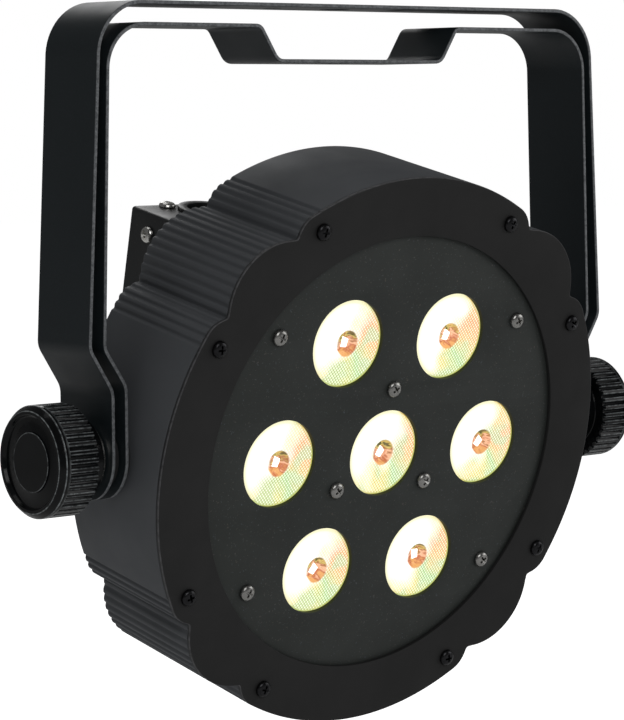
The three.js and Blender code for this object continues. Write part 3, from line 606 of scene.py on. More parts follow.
def lens_glow():
    """Lit micro-lensed face: blown out on one side, fine dots of orange, yellow and green on the other."""
    nodes = Nodes("lens_lit_microlens")
    split = nodes.add("ShaderNodeSeparateXYZ")
    place_at = nodes.coordinates()
    nodes.link(place_at, split.inputs["Vector"])
    x = nodes.math("DIVIDE", split.outputs["X"], LENS_R * MM)
    z = nodes.math("DIVIDE", split.outputs["Z"], LENS_R * MM)
    radius = nodes.math("SQRT", nodes.plus(nodes.times(x, x), nodes.times(z, z)))
    turn = nodes.add("ShaderNodeAttribute", attribute_name="lens_turn").outputs["Fac"]
    combined = nodes.add("ShaderNodeCombineXYZ")
    nodes.link(nodes.plus(x, turn), combined.inputs["X"])
    nodes.link(turn, combined.inputs["Y"])
    nodes.link(nodes.plus(z, turn), combined.inputs["Z"])
    shifted = combined.outputs["Vector"]
    wobble = nodes.span(nodes.noise(1.3, 1, 0.4, shifted), 0.3, 0.7, -0.25, 0.25)
    toward = nodes.math("SUBTRACT", nodes.times(x, 0.88), nodes.times(z, 0.47))
    colored = nodes.span(nodes.plus(toward, wobble), -0.3, 0.22)

    around = nodes.span(nodes.plus(nodes.math("ARCTAN2", z, x), wobble), -2.2, 1.3)
    hues = nodes.ramp(around, [
        (0.0, (0.95, 0.88, 0.4)), (0.2, (0.8, 0.85, 0.28)), (0.36, (0.42, 0.8, 0.4)),
        (0.48, (0.75, 0.75, 0.3)), (0.6, (0.95, 0.62, 0.25)), (0.76, (0.95, 0.5, 0.22)),
        (0.9, (0.95, 0.78, 0.35)),
    ])
    patch = nodes.span(nodes.noise(2.4, 1, 0.4, shifted), 0.5, 0.64, 0, 0.7)
    hues = nodes.mix(patch, hues, (0.45, 0.8, 0.5))
    dots = nodes.add("ShaderNodeTexVoronoi", feature="F1")
    dots.inputs["Scale"].default_value = 1080
    dots.inputs["Randomness"].default_value = 0.08
    turned_grid = nodes.add("ShaderNodeMapping")
    turned_grid.inputs["Rotation"].default_value = (0, math.radians(38), 0)
    nodes.link(place_at, turned_grid.inputs["Vector"])
    nodes.link(turned_grid.outputs["Vector"], dots.inputs["Vector"])
    cell = nodes.span(dots.outputs["Distance"], 0.2, 0.55)
    bright = nodes.mix(0.62, hues, (1.0, 0.99, 0.86))
    dark = nodes.mix(1.0, hues, (0.62, 0.5, 0.36), "MULTIPLY")
    dotted = nodes.mix(cell, bright, dark)

    white = nodes.ramp(radius, [(0.75, (1.0, 0.99, 0.97)), (0.97, (1.0, 0.95, 0.7))])
    face = nodes.mix(colored, white, dotted)
    rim = nodes.times(nodes.span(radius, 0.93, 0.97), nodes.span(toward, 0.1, 0.8, 0.25, 0.9))
    face = nodes.mix(rim, face, (0.36, 0.38, 0.07))

    speckle = nodes.noise(6.5, 2, 0.6, shifted)
    level = nodes.plus(nodes.times(speckle, 0.7), nodes.span(z, -0.3, 0.3, -0.1, 0.4))
    recess = nodes.ramp(level, [
        (0.28, (0.62, 0.3, 0.1)), (0.38, (0.4, 0.1, 0.035)), (0.48, (0.75, 0.42, 0.25)),
        (0.54, (0.3, 0.1, 0.03)), (0.62, (0.55, 0.42, 0.12)), (0.7, (0.08, 0.07, 0.015)),
    ])
    shown = nodes.times(nodes.span(radius, 0.295, 0.325, 1, 0), nodes.span(x, -0.17, -0.09))
    face = nodes.mix(shown, face, recess)
    nodes.feed("Base Color", nodes.mix(0.8, face, (0.05, 0.05, 0.04)))
    nodes.feed("Emission Color", face)
    nodes.feed("Emission Strength", nodes.span(colored, 0, 1, 1.12, 1.3))
    nodes.feed("Roughness", nodes.span(cell, 0, 1, 0.18, 0.35))
    nodes.bump(dots.outputs["Distance"], 0.4, 0.0002)
    return nodes.material


def glow(name, color, strength, spread):
    """A lit surface whose colour drifts a little over its area."""
    nodes = Nodes(name)
    tone = nodes.ramp(nodes.noise(900, 2), [(0.3, scaled(color, 1 - spread)), (0.7, color)])
    nodes.feed("Base Color", tone)
    nodes.feed("Emission Color", tone)
    nodes.shader.inputs["Emission Strength"].default_value = strength
    nodes.shader.inputs["Roughness"].default_value = 0.3
    return nodes.material


def smoked_window():
    nodes = Nodes("display_smoked_window")
    haze = nodes.ramp(nodes.noise(80, 3), [(0.3, (0.02, 0.002, 0.002)), (0.7, (0.045, 0.004, 0.004))])
    nodes.feed("Base Color", haze)
    nodes.feed("Roughness", nodes.span(nodes.noise(400, 3), 0.35, 0.7, 0.05, 0.16))
    nodes.shader.inputs["Coat Weight"].default_value = 0.5
    nodes.bump(nodes.noise(60, 2), 0.03, 0.0002)
    return nodes.material


MAT = {
    "housing": powder_coat("cast_housing_coat", (0.084, 0.089, 0.096), 0.07, 0.6, 1300, 0.1, specular=0.3),
    # The bezel's edge colour is a painted highlight along its outer front edge.
    "bezel": powder_coat("bezel_coat", (0.0175, 0.0175, 0.0175), 0.05, 0.6, 1400, 0.08, specular=0.2,
                         edge=(0.11, 0.11, 0.115)),
    "panel": powder_coat("panel_speckle_coat", (0.026, 0.03, 0.0275), 0.1, 0.62, 900, 0.16, specular=0.35,
                         specks=(0.335, (0.06, 0.07, 0.08))),
    "box": powder_coat("box_satin_coat", (0.0125, 0.014, 0.0145), 0.12, 0.36, 1500, 0.12,
                       specks=(0.33, (0.03, 0.034, 0.036))),
    "yoke": yoke_coat(),
    # The knob's edge colour paints highlight lines on the rib crests and face rings.
    "knob": gloss_plastic("knob_gloss_plastic", (0.0035, 0.004, 0.0045), 0.08, specular=0.17,
                          edge=(0.4, 0.43, 0.44)),
    "plastic": gloss_plastic("socket_plastic", (0.009, 0.0095, 0.01), 0.32, 0.12),
    "rubber": gloss_plastic("rubber_ring", (0.01, 0.01, 0.01), 0.6, 0.3),
    "nylon": gloss_plastic("nylon_ring", (0.014, 0.014, 0.015), 0.38, 0.15),
    "steel": metal("bright_zinc_steel", (0.72, 0.71, 0.68), 0.2),
    "dull_steel": metal("dull_zinc_steel", (0.36, 0.355, 0.34), 0.24),
    "black_steel": metal("black_oxide_steel", (0.03, 0.03, 0.032), 0.26),
    "brass": metal("contact_plating", (0.78, 0.62, 0.32), 0.25),
    "aluminium": metal("raw_aluminium", (0.62, 0.63, 0.64), 0.38),
    "lens": lens_glow(),
    "chip": glow("emitter_white", (1.0, 0.97, 0.94), 2.2, 0.12),
    "digit": glow("display_digit_red", (1.0, 0.06, 0.03), 2.0, 0.1),
    "window": smoked_window(),
    "board": powder_coat("board_mask", (0.02, 0.12, 0.05), 0.15, 0.4, 700, 0.2),
}

# ---- Camera and studio --------------------------------------------------------------------------


def camera():
    azimuth, elevation = math.radians(-40.06), math.radians(5.03)
    distance, target = 0.9755, axis_point + Vector((-0.01073, 0, 0.02505))
    away = Vector((
        math.sin(azimuth) * math.cos(elevation),
        -math.cos(azimuth) * math.cos(elevation),
        math.sin(elevation),
    ))
    data = bpy.data.cameras.new("camera")
    data.sensor_fit = "VERTICAL"
    data.sensor_height = 24
    data.lens = 96.77
    data.clip_start = 0.05
    eye = bpy.data.objects.new("camera", data)
    eye.location = target + away * distance
    roll = Matrix.Rotation(math.radians(-0.35), 3, "Z")
    eye.rotation_euler = (away.to_track_quat("Z", "Y").to_matrix() @ roll).to_euler()
    bpy.context.scene.collection.objects.link(eye)
    bpy.context.scene.camera = eye


def area_light(name, offset, target, size, power):
    data = bpy.data.lights.new(name, "AREA")
    data.shape = "RECTANGLE"
    data.size, data.size_y = size
    data.energy = power
    lamp = bpy.data.objects.new(name, data)
    lamp.location = target + Vector(offset)
    lamp.rotation_euler = (lamp.location - target).to_track_quat("Z", "Y").to_euler()
    bpy.context.scene.collection.objects.link(lamp)


def seen_white(tree, lighting, seen):
    """A strength that is one value as a light and another where the backdrop is looked at directly."""
    path = tree.nodes.new("ShaderNodeLightPath")
    level = tree.nodes.new("ShaderNodeMapRange")
    level.inputs["To Min"].default_value = lighting
    level.inputs["To Max"].default_value = seen
    tree.links.new(path.outputs["Is Camera Ray"], level.inputs["Value"])
    return level.outputs["Result"]


def studio():
    scene = bpy.context.scene
    scene.view_settings.view_transform = "Standard"
    world = bpy.data.worlds.new("studio")
    scene.world = world
    world.use_nodes = True
    tree = world.node_tree
    background = tree.nodes["Background"]
    background.inputs["Color"].default_value = (1, 1, 1, 1)
    tree.links.new(seen_white(tree, 0.13, 1.0), background.inputs["Strength"])
    middle = (cad_bounds[0] + cad_bounds[1]) / 2
    for name, offset, size, power in LAMPS:
        area_light(name, offset, middle, size, power)

    nodes = Nodes("studio_floor")
    tone = nodes.ramp(nodes.noise(6, 2), [(0.3, (0.86, 0.86, 0.86)), (0.7, (0.9, 0.9, 0.9))])
    nodes.feed("Base Color", tone)
    nodes.feed("Emission Color", tone)
    nodes.feed("Emission Strength", seen_white(nodes.tree, 0.1, 1.05))
    nodes.shader.inputs["Roughness"].default_value = 0.8
    floor_z = cad_bounds[0].z - FLOOR_DROP
    signs = ((-1, -1), (1, -1), (1, 1), (-1, 1))
    corners = [(x * FLOOR_REACH, y * FLOOR_REACH, floor_z) for x, y in signs]
    mesh = bpy.data.meshes.new("floor")
    mesh.from_pydata(corners, [], [(0, 1, 2, 3)])
    mesh.materials.append(nodes.material)
    floor = bpy.data.objects.new("floor", mesh)
    scene.collection.objects.link(floor)


camera()
studio()

# ---- Head casings -------------------------------------------------------------------------------


def housing():
    """Ribbed ring, closed by its inner wall: mouth for the panel in front, open at the back."""
    angles = head_angles()
    back_round, steps = 1.3, 5
    flange_back = HOUSING_FRONT + FLANGE_THICK
    rings = [
        round_ring(angles, HOUSING_FRONT, PANEL_R + GAP),
        outline_ring(angles, HOUSING_FRONT, 0.4, 1),
        outline_ring(angles, HOUSING_FRONT + 0.12, 0.12, 1),
        outline_ring(angles, HOUSING_FRONT + 0.4, 0, 1),
    ]
    for i in range(steps + 1):
        angle = math.pi / 2 * i / steps
        y = HOUSING_BACK - back_round * (1 - math.sin(angle))
        rings.append(outline_ring(angles, y, back_round * (1 - math.cos(angle)), 1 - 0.6 * i / steps))
    rings.append(outline_ring(angles, HOUSING_BACK, HOUSING_WALL))
    rings.append(outline_ring(angles, flange_back, HOUSING_WALL))
    rings.append(round_ring(angles, flange_back, PANEL_R + GAP))
    return make_mesh("housing", *bridge(rings, closed=True), sharp=38)


def bezel():
    """Thin lobed plate with a round opening and screw holes; its outer edge is weighted for a painted pale
    highlight.
    """
    angles = head_angles(rib_steps=4)
    edge = 0.3
    rings = [
        round_ring(angles, BEZEL_BACK, BEZEL_OPENING_R),
        round_ring(angles, BEZEL_FRONT + 0.2, BEZEL_OPENING_R),
        round_ring(angles, BEZEL_FRONT + 0.05, BEZEL_OPENING_R + 0.06),
        round_ring(angles, BEZEL_FRONT, BEZEL_OPENING_R + 0.2),
        outline_ring(angles, BEZEL_FRONT, edge + 0.25),
        outline_ring(angles, BEZEL_FRONT, edge),
        outline_ring(angles, BEZEL_FRONT + 0.3 * edge, 0.3 * edge),
        outline_ring(angles, BEZEL_FRONT + edge, 0),
        outline_ring(angles, BEZEL_BACK - 0.1, 0),
        outline_ring(angles, BEZEL_BACK, 0.1),
    ]
    mesh = make_mesh("bezel", *bridge(rings, closed=True), sharp=60)
    low, high = BEZEL_FRONT - 1, BEZEL_BACK + 1
    profile = [(0, low), (SCREW_HOLE_R, low), (SCREW_HOLE_R, high), (0, high)]
    holes = [moved(turned("hole", profile, 20), x, 0, z) for x, z in bezel_screw_places()]
    mesh = carved(mesh, holes, sharp=60)
    # Weight of the painted highlight along the outer front edge.
    weights = []
    for vertex in mesh.vertices:
        x, y, z = vertex.co
        at_edge = math.hypot(x, z) > outline_radius(math.atan2(z, x)) - 0.35 * edge
        weights.append(1.0 if at_edge and y < BEZEL_FRONT + 1.2 * edge else 0.0)
    return stored(mesh, "edge", weights)


def lens_places():
    return [(0.0, 0.0)] + [on_circle(LENS_PITCH, math.radians(60 * i)) for i in range(6)]


def bezel_screw_places():
    a, b = BEZEL_SCREW
    return [(a, b), (b, a), (b, -a), (a, -b), (-a, -b), (-b, -a), (-b, a), (-a, b)]


def panel_screw_places():
    a, b = PANEL_SCREW
    inner = [on_circle(PANEL_SCREW_INNER_R, math.radians(degrees)) for degrees in (90, 210, 330)]
    return [(a, b), (a, -b), (-a, -b), (-a, b)] + inner


def front_panel():
    loops = [circle(0, 0, PANEL_R, 160)]
    loops += [circle(x, -z, LENS_HOLE_R, 96) for x, z in lens_places()]
    loops += [circle(x, -z, SCREW_HOLE_R, 24) for x, z in panel_screw_places()]
    mesh = plate("front_panel", loops, PANEL_BACK - HOUSING_FRONT, bevel=0.12)
    middle = (PANEL_BACK + HOUSING_FRONT) / 2
    mesh.transform(Matrix.Translation((0, middle, 0)) @ Matrix.Rotation(-math.pi / 2, 4, "X"))
    return mesh


def lens():
    """Collimator drawn about its own middle: recess over the emitter, flat face, flange and cone."""
    front, flange_front = LENS_FRONT, PANEL_BACK + GAP
    cone_back = BOARD_FRONT - 0.9
    profile = [(0, front + 2.6), (3.2, front + 2.5), (3.9, front + 1.2), (4.25, front + 0.25)]
    profile += [(4.45, front), (7, front), (10, front), (LENS_R - 0.35, front)]
    profile += [(LENS_R - 0.1, front + 0.1), (LENS_R, front + 0.35), (LENS_R, flange_front)]
    profile += [(LENS_FLANGE_R, flange_front), (LENS_FLANGE_R, flange_front + 1.8), (5.2, cone_back)]
    profile += [(LENS_FOOT_R, cone_back), (LENS_FOOT_R, cone_back - 3), (0, cone_back - 3)]
    return turned("lens", profile, 96, sharp=30)


def lens_emitter(turn):
    """White die seen in the recess, a slightly skewed plate turned by the given angle."""
    y = LENS_FRONT + 2.1
    die = [(-0.5, -1.5), (1.5, -1.7), (2.1, 0.8), (-0.1, 1.65)]
    cos, sin = math.cos(turn), math.sin(turn)
    front = [(x * cos - z * sin, y, x * sin + z * cos) for x, z in die]
    back = [(x * 1.12, y + 0.35, z * 1.12) for x, _, z in front]
    return make_mesh("die", *bridge([front, back], caps=(True, True)), sharp=30)


def pan_screw(shank):
    """Cross-recessed pan head along Y, seated at y = 0 with its head towards -Y."""
    top = -GAP - SCREW_HEAD_H
    profile = [(0, top)]
    for i in range(1, 7):
        angle = math.pi / 2 * i / 6
        radius = SCREW_HEAD_R * math.sin(angle) ** 0.75
        profile.append((radius, top + SCREW_HEAD_H * (1 - math.cos(angle)) ** 1.3))
    profile += [(SCREW_HEAD_R, -GAP), (SCREW_R, -GAP), (SCREW_R, shank - 0.5)]
    profile += [(SCREW_R - 0.5, shank), (0, shank)]
    body = turned("screw", profile, 32, sharp=40)
    wide, tip, half = 1.95, 0.6, 0.45

    def slot_ring(x, y, z):
        return [(-x, y, -z), (x, y, -z), (x, y, z), (-x, y, z)]

    cutters = []
    for quarter in (0, 1):
        rings = [slot_ring(tip, top + 1.1, half / 2), slot_ring(wide, top - 0.5, half)]
        wing = make_mesh("wing", *bridge(rings, caps=(True, True)), sharp=20)
        wing.transform(Matrix.Rotation(math.pi / 2 * quarter, 4, "Y"))
        cutters.append(wing)
    return carved(body, cutters)


place("casing", housing(), HEAD, "head", "housing", "cast_black", "housing")
place("bezel_ring", bezel(), HEAD, "head", "bezel", "cast_black", "bezel")
place("emitter_panel", front_panel(), HEAD, "head", "panel", "panel_black", "front_panel")

dice = random.Random(7)
lens_mesh = lens()
head_turn = HEAD.to_3x3().normalized().to_4x4()
for index, (x, z) in enumerate(lens_places()):
    # A lens keeps its own place in the object's matrix, because its glow is drawn in object coordinates.
    spot = HEAD @ Matrix.Translation((x, 0, z))
    mesh = lens_mesh.copy()
    mesh.transform(Matrix.Scale(MM, 4))
    mesh.materials.append(MAT["lens"])
    stored(mesh, "lens_turn", [dice.uniform(0, 3)] * len(mesh.vertices))
    piece = bpy.data.objects.new(f"collimator_{index + 1}", mesh)
    piece.matrix_world = Matrix.Translation(spot.translation) @ head_turn
    bpy.context.scene.collection.objects.link(piece)
    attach(piece, "head")
    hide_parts(f"lens_{index + 1}")
    die = lens_emitter(dice.uniform(-0.5, 0.5))
    place(f"emitter_{index + 1}", die, spot, "head", "chip", "lens_clear")


def fixings(label, screw, y, spots, look, slot):
    """A copy of the screw at each (x, z), seated at y and turned its own way."""
    for index, (x, z) in enumerate(spots):
        spot = HEAD @ Matrix.Translation((x, y, z)) @ Matrix.Rotation(dice.uniform(0, math.pi), 4, "Y")
        node = f"{label}_screw_{index + 1}"
        place(f"{label}_fixing_{index + 1}", screw.copy(), spot, "head", look, slot, node)


fixings("bezel", pan_screw(8), BEZEL_FRONT, bezel_screw_places(), "black_steel", "black_steel")
fixings("panel", pan_screw(14), HOUSING_FRONT, panel_screw_places(), "dull_steel", "steel")

# ---- Yokes --------------------------------------------------------------------------------------


def yoke_path(shape, drop, steps=8):
    """Outer face of half the band as (x, z), from under the axis to the bar's middle."""
    arm, low, high, wide = shape["arm"], shape["low"], shape["high"], shape["wide"]
    top, bar, corner_r = shape["top"], shape["bar"], shape["corner"]
    points = [(arm, -BAND_HALF)]
    bend = 2.2
    run = math.hypot(wide - arm, high - low)
    lean = ((wide - arm) / run, (high - low) / run)

    def curved(corner, before, after):
        a = (corner[0] - before[0] * bend, corner[1] - before[1] * bend)
        c = (corner[0] + after[0] * bend, corner[1] + after[1] * bend)
        for i in range(steps + 1):
            t = i / steps
            ends = zip(a, corner, c)
            points.append(tuple((1 - t) ** 2 * p + 2 * t * (1 - t) * q + t * t * r for p, q, r in ends))

    for i in range(1, 15):
        points.append((arm, -BAND_HALF + BAND_HALF * i / 14))
    curved((arm, low), (0, 1), lean)
    centre = (top - corner_r, bar - corner_r)
    leg = math.hypot(top - wide, centre[1] - high)
    curved((wide, high), lean, ((top - wide) / leg, (centre[1] - high) / leg))
    for i in range(17):
        across, up = on_circle(corner_r, math.pi / 2 * i / 16)
        points.append((centre[0] + across, centre[1] + up))
    if not drop:
        return points + [(0, bar)]
    outer, inner, depth = DROP["outer"], DROP["inner"], DROP["depth"]
    fall = math.hypot(outer - inner, depth)
    down = ((inner - outer) / fall, -depth / fall)
    curved((outer, bar), (-1, 0), down)
    curved((inner, bar - depth), down, (-1, 0))
    return points + [(0, bar - depth)]


def band_section(width, edge=0.28, steps=3):
    """(across, depth) round the band's section with rounded edges; depth runs in from the outer face."""
    points = []
    corners = ((1, edge, 90), (1, BAND_T - edge, 0), (-1, BAND_T - edge, -90), (-1, edge, -180))
    for side, depth, start in corners:
        for i in range(steps + 1):
            angle = math.radians(start - 90 * i / steps)
            across = side * (width - edge) + edge * math.cos(angle)
            points.append((across, depth - edge * math.sin(angle)))
        # Extra points bound the band that the painted edge highlight spreads over.
        if start in (0, -180):
            inner = 0 if start else BAND_T
            points += [(side * (width - HIGHLIGHT_BAND), inner), (-side * (width - HIGHLIGHT_BAND), inner)]
    return points


def band_half(z):
    """Half the band's width at a height: full above the tilt axis, round below it."""
    return BAND_HALF if z >= 0 else math.sqrt(max(BAND_HALF ** 2 - z * z, 0.6))


def yoke(name, shape, drop, holes):
    """A bent band swept along its path, with its holes cut and its edges weighted for a painted highlight.
    """
    half = yoke_path(shape, drop)
    path = half + [(-x, z) for x, z in reversed(half[:-1])]
    spaced = [path[0]]
    for x, z in path[1:]:
        px, pz = spaced[-1]
        parts = max(1, int(math.hypot(x - px, z - pz) / BAND_STEP))
        for i in range(1, parts + 1):
            spaced.append((px + (x - px) * i / parts, pz + (z - pz) * i / parts))
    rings = []
    for index, (x, z) in enumerate(spaced):
        ax, az = spaced[max(index - 1, 0)]
        bx, bz = spaced[min(index + 1, len(spaced) - 1)]
        length = math.hypot(bx - ax, bz - az)
        inward = (-(bz - az) / length, (bx - ax) / length)
        section = band_section(band_half(z))
        rings.append([(x + inward[0] * depth, across, z + inward[1] * depth) for across, depth in section])
    mesh = make_mesh(name, *bridge(rings, caps=(True, True)), sharp=32)
    mesh = carved(mesh, [cutter(*hole, 8) for hole in holes], sharp=32)
    # Weight of the painted highlight: rises across the rounded corners and edge faces.
    values = []
    for vertex in mesh.vertices:
        past = abs(vertex.co.y) - band_half(vertex.co.z) + 0.25
        values.append(min(1.0, max(0.0, past / 0.2)))
    return stored(mesh, "edge", values)


def stud_holes(arm):
    return [("X", (side * arm, 0, 0), STUD_HOLE_R) for side in (-1, 1)]


bar = OUTER_YOKE["bar"] - 1
outer_holes = stud_holes(104) + [("Z", (0, 0, bar), HANG_HOLE_R)]
outer_holes += [("Z", (side * SIDE_HOLE_X, 0, bar), SIDE_HOLE_R) for side in (-1, 1)]
band = yoke("outer_band", OUTER_YOKE, False, outer_holes)
place("outer_band", band, YOKE, "outer_yoke", "yoke", "yoke_black", "outer_yoke")
bar = INNER_YOKE["bar"] - DROP["depth"] - 1
band = yoke("inner_band", INNER_YOKE, True, stud_holes(99) + [("Z", (0, 0, bar), HANG_HOLE_R)])
place("inner_band", band, YOKE, "inner_yoke", "yoke", "yoke_black", "inner_yoke")

# ---- Knobs and clamping stack -------------------------------------------------------------------


def knob():
    """Ribbed grip with a plain band, a raised rim and a disc in its face, drawn along +X."""
    per_rib = 10
    count = KNOB_RIBS * per_rib
    face, back, hub_back, rib_end = KNOB_FACE, KNOB_BACK, KNOB_HUB_BACK, KNOB_FACE - 3.4
    grip, hub, rim, disc = KNOB_R, KNOB_HUB_R, KNOB_RIM_R, KNOB_DISC_R
    bore, bore_end, middle = STUD_R + GAP, STUD_TIP + GAP, 0.001
    # Each ring: distance along the axis, radius, groove depth and the weight of the painted highlight along
    # its edge.
    rings = [
        (hub_back, bore, 0, 0), (hub_back, hub - 0.5, 0, 0), (hub_back + 0.5, hub, 0, 0),
        (back - 0.3, hub, 0, 0), (back, hub + 0.3, 0, 0), (back, grip - 1.2, 0, 0),
        (back + 0.1, grip - 1.0, 0.2, 0), (back + 0.5, grip, 0.9, 0.5), (rib_end - 0.5, grip, 0.9, 0.6),
        (rib_end - 0.1, grip, 0.7, 0.8), (rib_end + 0.1, grip, 0, 0.3), (face - 2.6, grip, 0, 0),
        (face - 2.1, grip, 0, 0), (face - 1.9, grip - 0.08, 0, 0.8), (face - 1.6, grip - 0.3, 0, 0),
        (face - 0.5, rim + 0.5, 0, 0), (face - 0.15, rim + 0.18, 0, 0), (face, rim - 0.1, 0, 0.9),
        (face, rim - 0.35, 0, 0), (face, rim - 1.1, 0, 0), (face - 0.12, rim - 1.3, 0, 0),
        (face - 1.05, rim - 1.75, 0, 0), (face - 1.2, rim - 2, 0, 0), (face - 1.2, disc + 0.4, 0, 0),
        (face - 1.1, disc + 0.15, 0, 0), (face - 0.6, disc, 0, 0), (face - 0.5, disc - 0.12, 0, 0.7),
        (face - 0.5, disc - 0.4, 0, 0), (face - 0.5, 5, 0, 0), (face - 0.5, middle, 0, 0),
        (bore_end, middle, 0, 0), (bore_end, bore, 0, 0),
    ]
    loops, weights = [], []
    for x, radius, groove, edge_highlight in rings:
        loop = []
        for i in range(count):
            angle, phase = 2 * math.pi * i / count, (i % per_rib) / per_rib
            reach = radius - groove * max(0.0, math.cos(2 * math.pi * phase)) ** 0.8
            loop.append((x, *on_circle(reach, angle)))
            # The painted highlight goes on the crest edges of the ribs and on the weighted rings of the
            # face.
            on_crest = groove == 0 or i % per_rib in (3, 7)
            weights.append(edge_highlight if on_crest else 0.0)
        loops.append(loop)
    vertices, faces = bridge(loops, closed=True)
    mesh = bpy.data.meshes.new("knob")
    mesh.from_pydata(vertices, [], faces)
    return clean(stored(mesh, "edge", weights), 30)


def washer(x_from, x_to, outer):
    """A plain ring round the stud with broken outer edges, drawn along +X."""
    edge, inner = 0.25, STUD_HOLE_R
    profile = [(inner, x_from), (outer - edge, x_from), (outer, x_from + edge), (outer, x_to - edge)]
    profile += [(outer - edge, x_to), (inner, x_to)]
    return closed_turned("washer", profile, 72, "X")


def stud():
    """Threaded stud: fine ridges along most of its length."""
    profile = [(0, STUD_INNER), (3.5, STUD_INNER)]
    x = STUD_INNER + 0.6
    while x < STUD_TIP - 0.7:
        profile += [(3.95, x), (3.55, x + 0.6)]
        x += THREAD_PITCH
    profile += [(3.4, STUD_TIP), (0, STUD_TIP)]
    return turned("stud", profile, 32, "X", sharp=25)


for side, label in ((1, "right"), (-1, "left")):
    hand = YOKE if side > 0 else YOKE @ Matrix.Rotation(math.pi, 4, "Z")
    for name, mesh, body, look, slot, node in (
        ("grip", knob(), f"knob_{label}", "knob", "knob_black", "knob"),
        ("threaded_stud", stud(), f"knob_{label}", "steel", "steel", "stud"),
        ("steel_washer", washer(*WASHER_X, WASHER_R), f"washer_{label}", "steel", "steel", "washer"),
        ("nylon_spacer", washer(*SPACER_X, WASHER_R), "inner_yoke", "nylon", "nylon", "spacer"),
        ("rubber_pad", washer(*PAD_X, PAD_R), "head", "rubber", "rubber", "friction_pad"),
    ):
        place(f"{name}_{label}", mesh, hand, body, look, slot, f"{node}_{label}")

# ---- Back of the head ---------------------------------------------------------------------------


def flat(name, offset, loops, thickness, bevel=0.2):
    """A sheet across Y with its middle at that offset; loops are drawn in X and Z."""
    mesh = plate(name, loops, thickness, bevel)
    mesh.transform(facing_y(offset))
    return mesh


def rear_plate():
    outline = [(x, z) for x, _, z in outline_ring(head_angles(rib_steps=2), 0, HOUSING_WALL + GAP)]
    loops = [outline, circle(0, CABLE_HOLE_Z, CABLE_HOLE_R, 64)]
    for side in (-1, 1):
        loops += [round_rectangle(side * (VENT_X + VENT_PITCH * i), 0, *VENT_SIZE, 1.4) for i in range(4)]
    return flat("rear_plate", HOUSING_BACK - REAR_PLATE_T / 2, loops, REAR_PLATE_T)


def rear_box():
    """Folded sheet: a back wall with rounded fold lines, a top, an underside and two sides."""
    fold, steps = 1.1, 5
    half = BOX_HALF_W
    middle_z, height = (BOX_TOP + BOX_BOTTOM) / 2, BOX_TOP - BOX_BOTTOM

    def outline(grow):
        return round_rectangle(0, middle_z, 2 * (half + grow), height + 2 * grow, 1.2 + max(grow, -0.9), 4)

    rings = [[(x, BOX_FRONT, z) for x, z in outline(0)]]
    for i in range(steps + 1):
        angle = math.pi / 2 * i / steps
        y = BOX_BACK - fold * (1 - math.sin(angle))
        rings.append([(x, y, z) for x, z in outline(-fold * (1 - math.cos(angle)))])
    face = round_rectangle(0, middle_z, 2 * half - 6, height - 6, 0.3, 4)
    rings.append([(x, BOX_BACK, z) for x, z in face])
    inner = round_rectangle(0, middle_z, 2 * (half - SHEET), height - 2 * SHEET, 0.3, 4)
    rings.append([(x * 0.9, BOX_BACK, middle_z + (z - middle_z) * 0.9) for x, z in inner])
    vertices, faces = bridge(rings, caps=(False, True))
    count, start = len(rings[0]), len(vertices)
    vertices += [(x, BOX_BACK - SHEET, z) for x, z in inner] + [(x, BOX_FRONT, z) for x, z in inner]
    faces.append(tuple(range(start, start + count)))
    for j in range(count):
        k = (j + 1) % count
        faces.append((start + j, start + k, start + count + k, start + count + j))
        faces.append((start + count + j, start + count + k, k, j))
    mesh = make_mesh("rear_box", vertices, faces, sharp=40)

    cutters = [cutter("Z", (x, SOCKET_Y, BOX_TOP), SOCKET_R + GAP, 6) for x in (-DMX_X, DMX_X)]
    w, h = DISPLAY_SIZE[0] / 2 + GAP, DISPLAY_SIZE[1] / 2 + GAP
    cutters.append(block((-w, BOX_BACK - 4, DISPLAY_Z - h), (w, BOX_BACK + 4, DISPLAY_Z + h), 0))
    for i in range(4):
        cutters.append(cutter("Y", (button_x(i), BOX_BACK, BUTTON_Z), BUTTON_R + GAP, 6))
    w, d = INLET_SIZE[0] / 2 + GAP, INLET_SIZE[1] / 2 + GAP
    low = (INLET_X - w, SOCKET_Y - d, BOX_BOTTOM - 4)
    cutters.append(block(low, (INLET_X + w, SOCKET_Y + d, BOX_BOTTOM + 4), 0))
    cutters.append(cutter("Z", (FUSE_X, SOCKET_Y, BOX_BOTTOM), FUSE_R + GAP, 6))
    for axis, spot in BOX_SCREWS:
        cutters.append(cutter(axis, spot, SCREW_HOLE_R, 6))
    return carved(mesh, cutters, sharp=40)


def button_x(index):
    return (index - 1.5) * BUTTON_PITCH


def button():
    """Push cap about Y, with a collar behind the wall and a slightly domed, dished face."""
    back, wall, r = BOX_BACK, BOX_BACK - SHEET - GAP, BUTTON_R
    profile = [(0, 46), (1.5, 46), (1.5, 47.4), (r + 0.9, 47.4), (r + 0.9, wall), (r, wall)]
    profile += [(r, back + 1.2), (r - 0.12, back + 1.55), (r - 0.45, back + 1.75), (r - 0.8, back + 1.8)]
    profile += [(1.2, back + 1.65), (0, back + 1.6)]
    return turned("button", profile, 48, "Y", sharp=50)


def digit_bars(digits, width=5.6, height=9.6, bar=1.1, pitch=9.0):
    """The lit bars of each seven-bar digit, just proud of the pane."""
    parts = []
    y, w, h = BOX_BACK + 0.05, width / 2, height / 2
    level, upright = (width - 2 * bar, bar), (bar, h - bar)
    for index, digit in enumerate(digits):
        cx = ((len(digits) - 1) / 2 - index) * pitch
        bars = {
            "a": (cx, h, *level), "d": (cx, -h, *level),
            "f": (cx + w, h / 2, *upright), "b": (cx - w, h / 2, *upright),
            "e": (cx + w, -h / 2, *upright), "c": (cx - w, -h / 2, *upright),
        }
        for name in LIT_BARS[digit]:
            x, z, bw, bh = bars[name]
            low = (x - bw / 2, y, DISPLAY_Z + z - bh / 2)
            parts.append(block(low, (x + bw / 2, y + 0.34, DISPLAY_Z + z + bh / 2), 0.12))
    return merged("digits", parts)


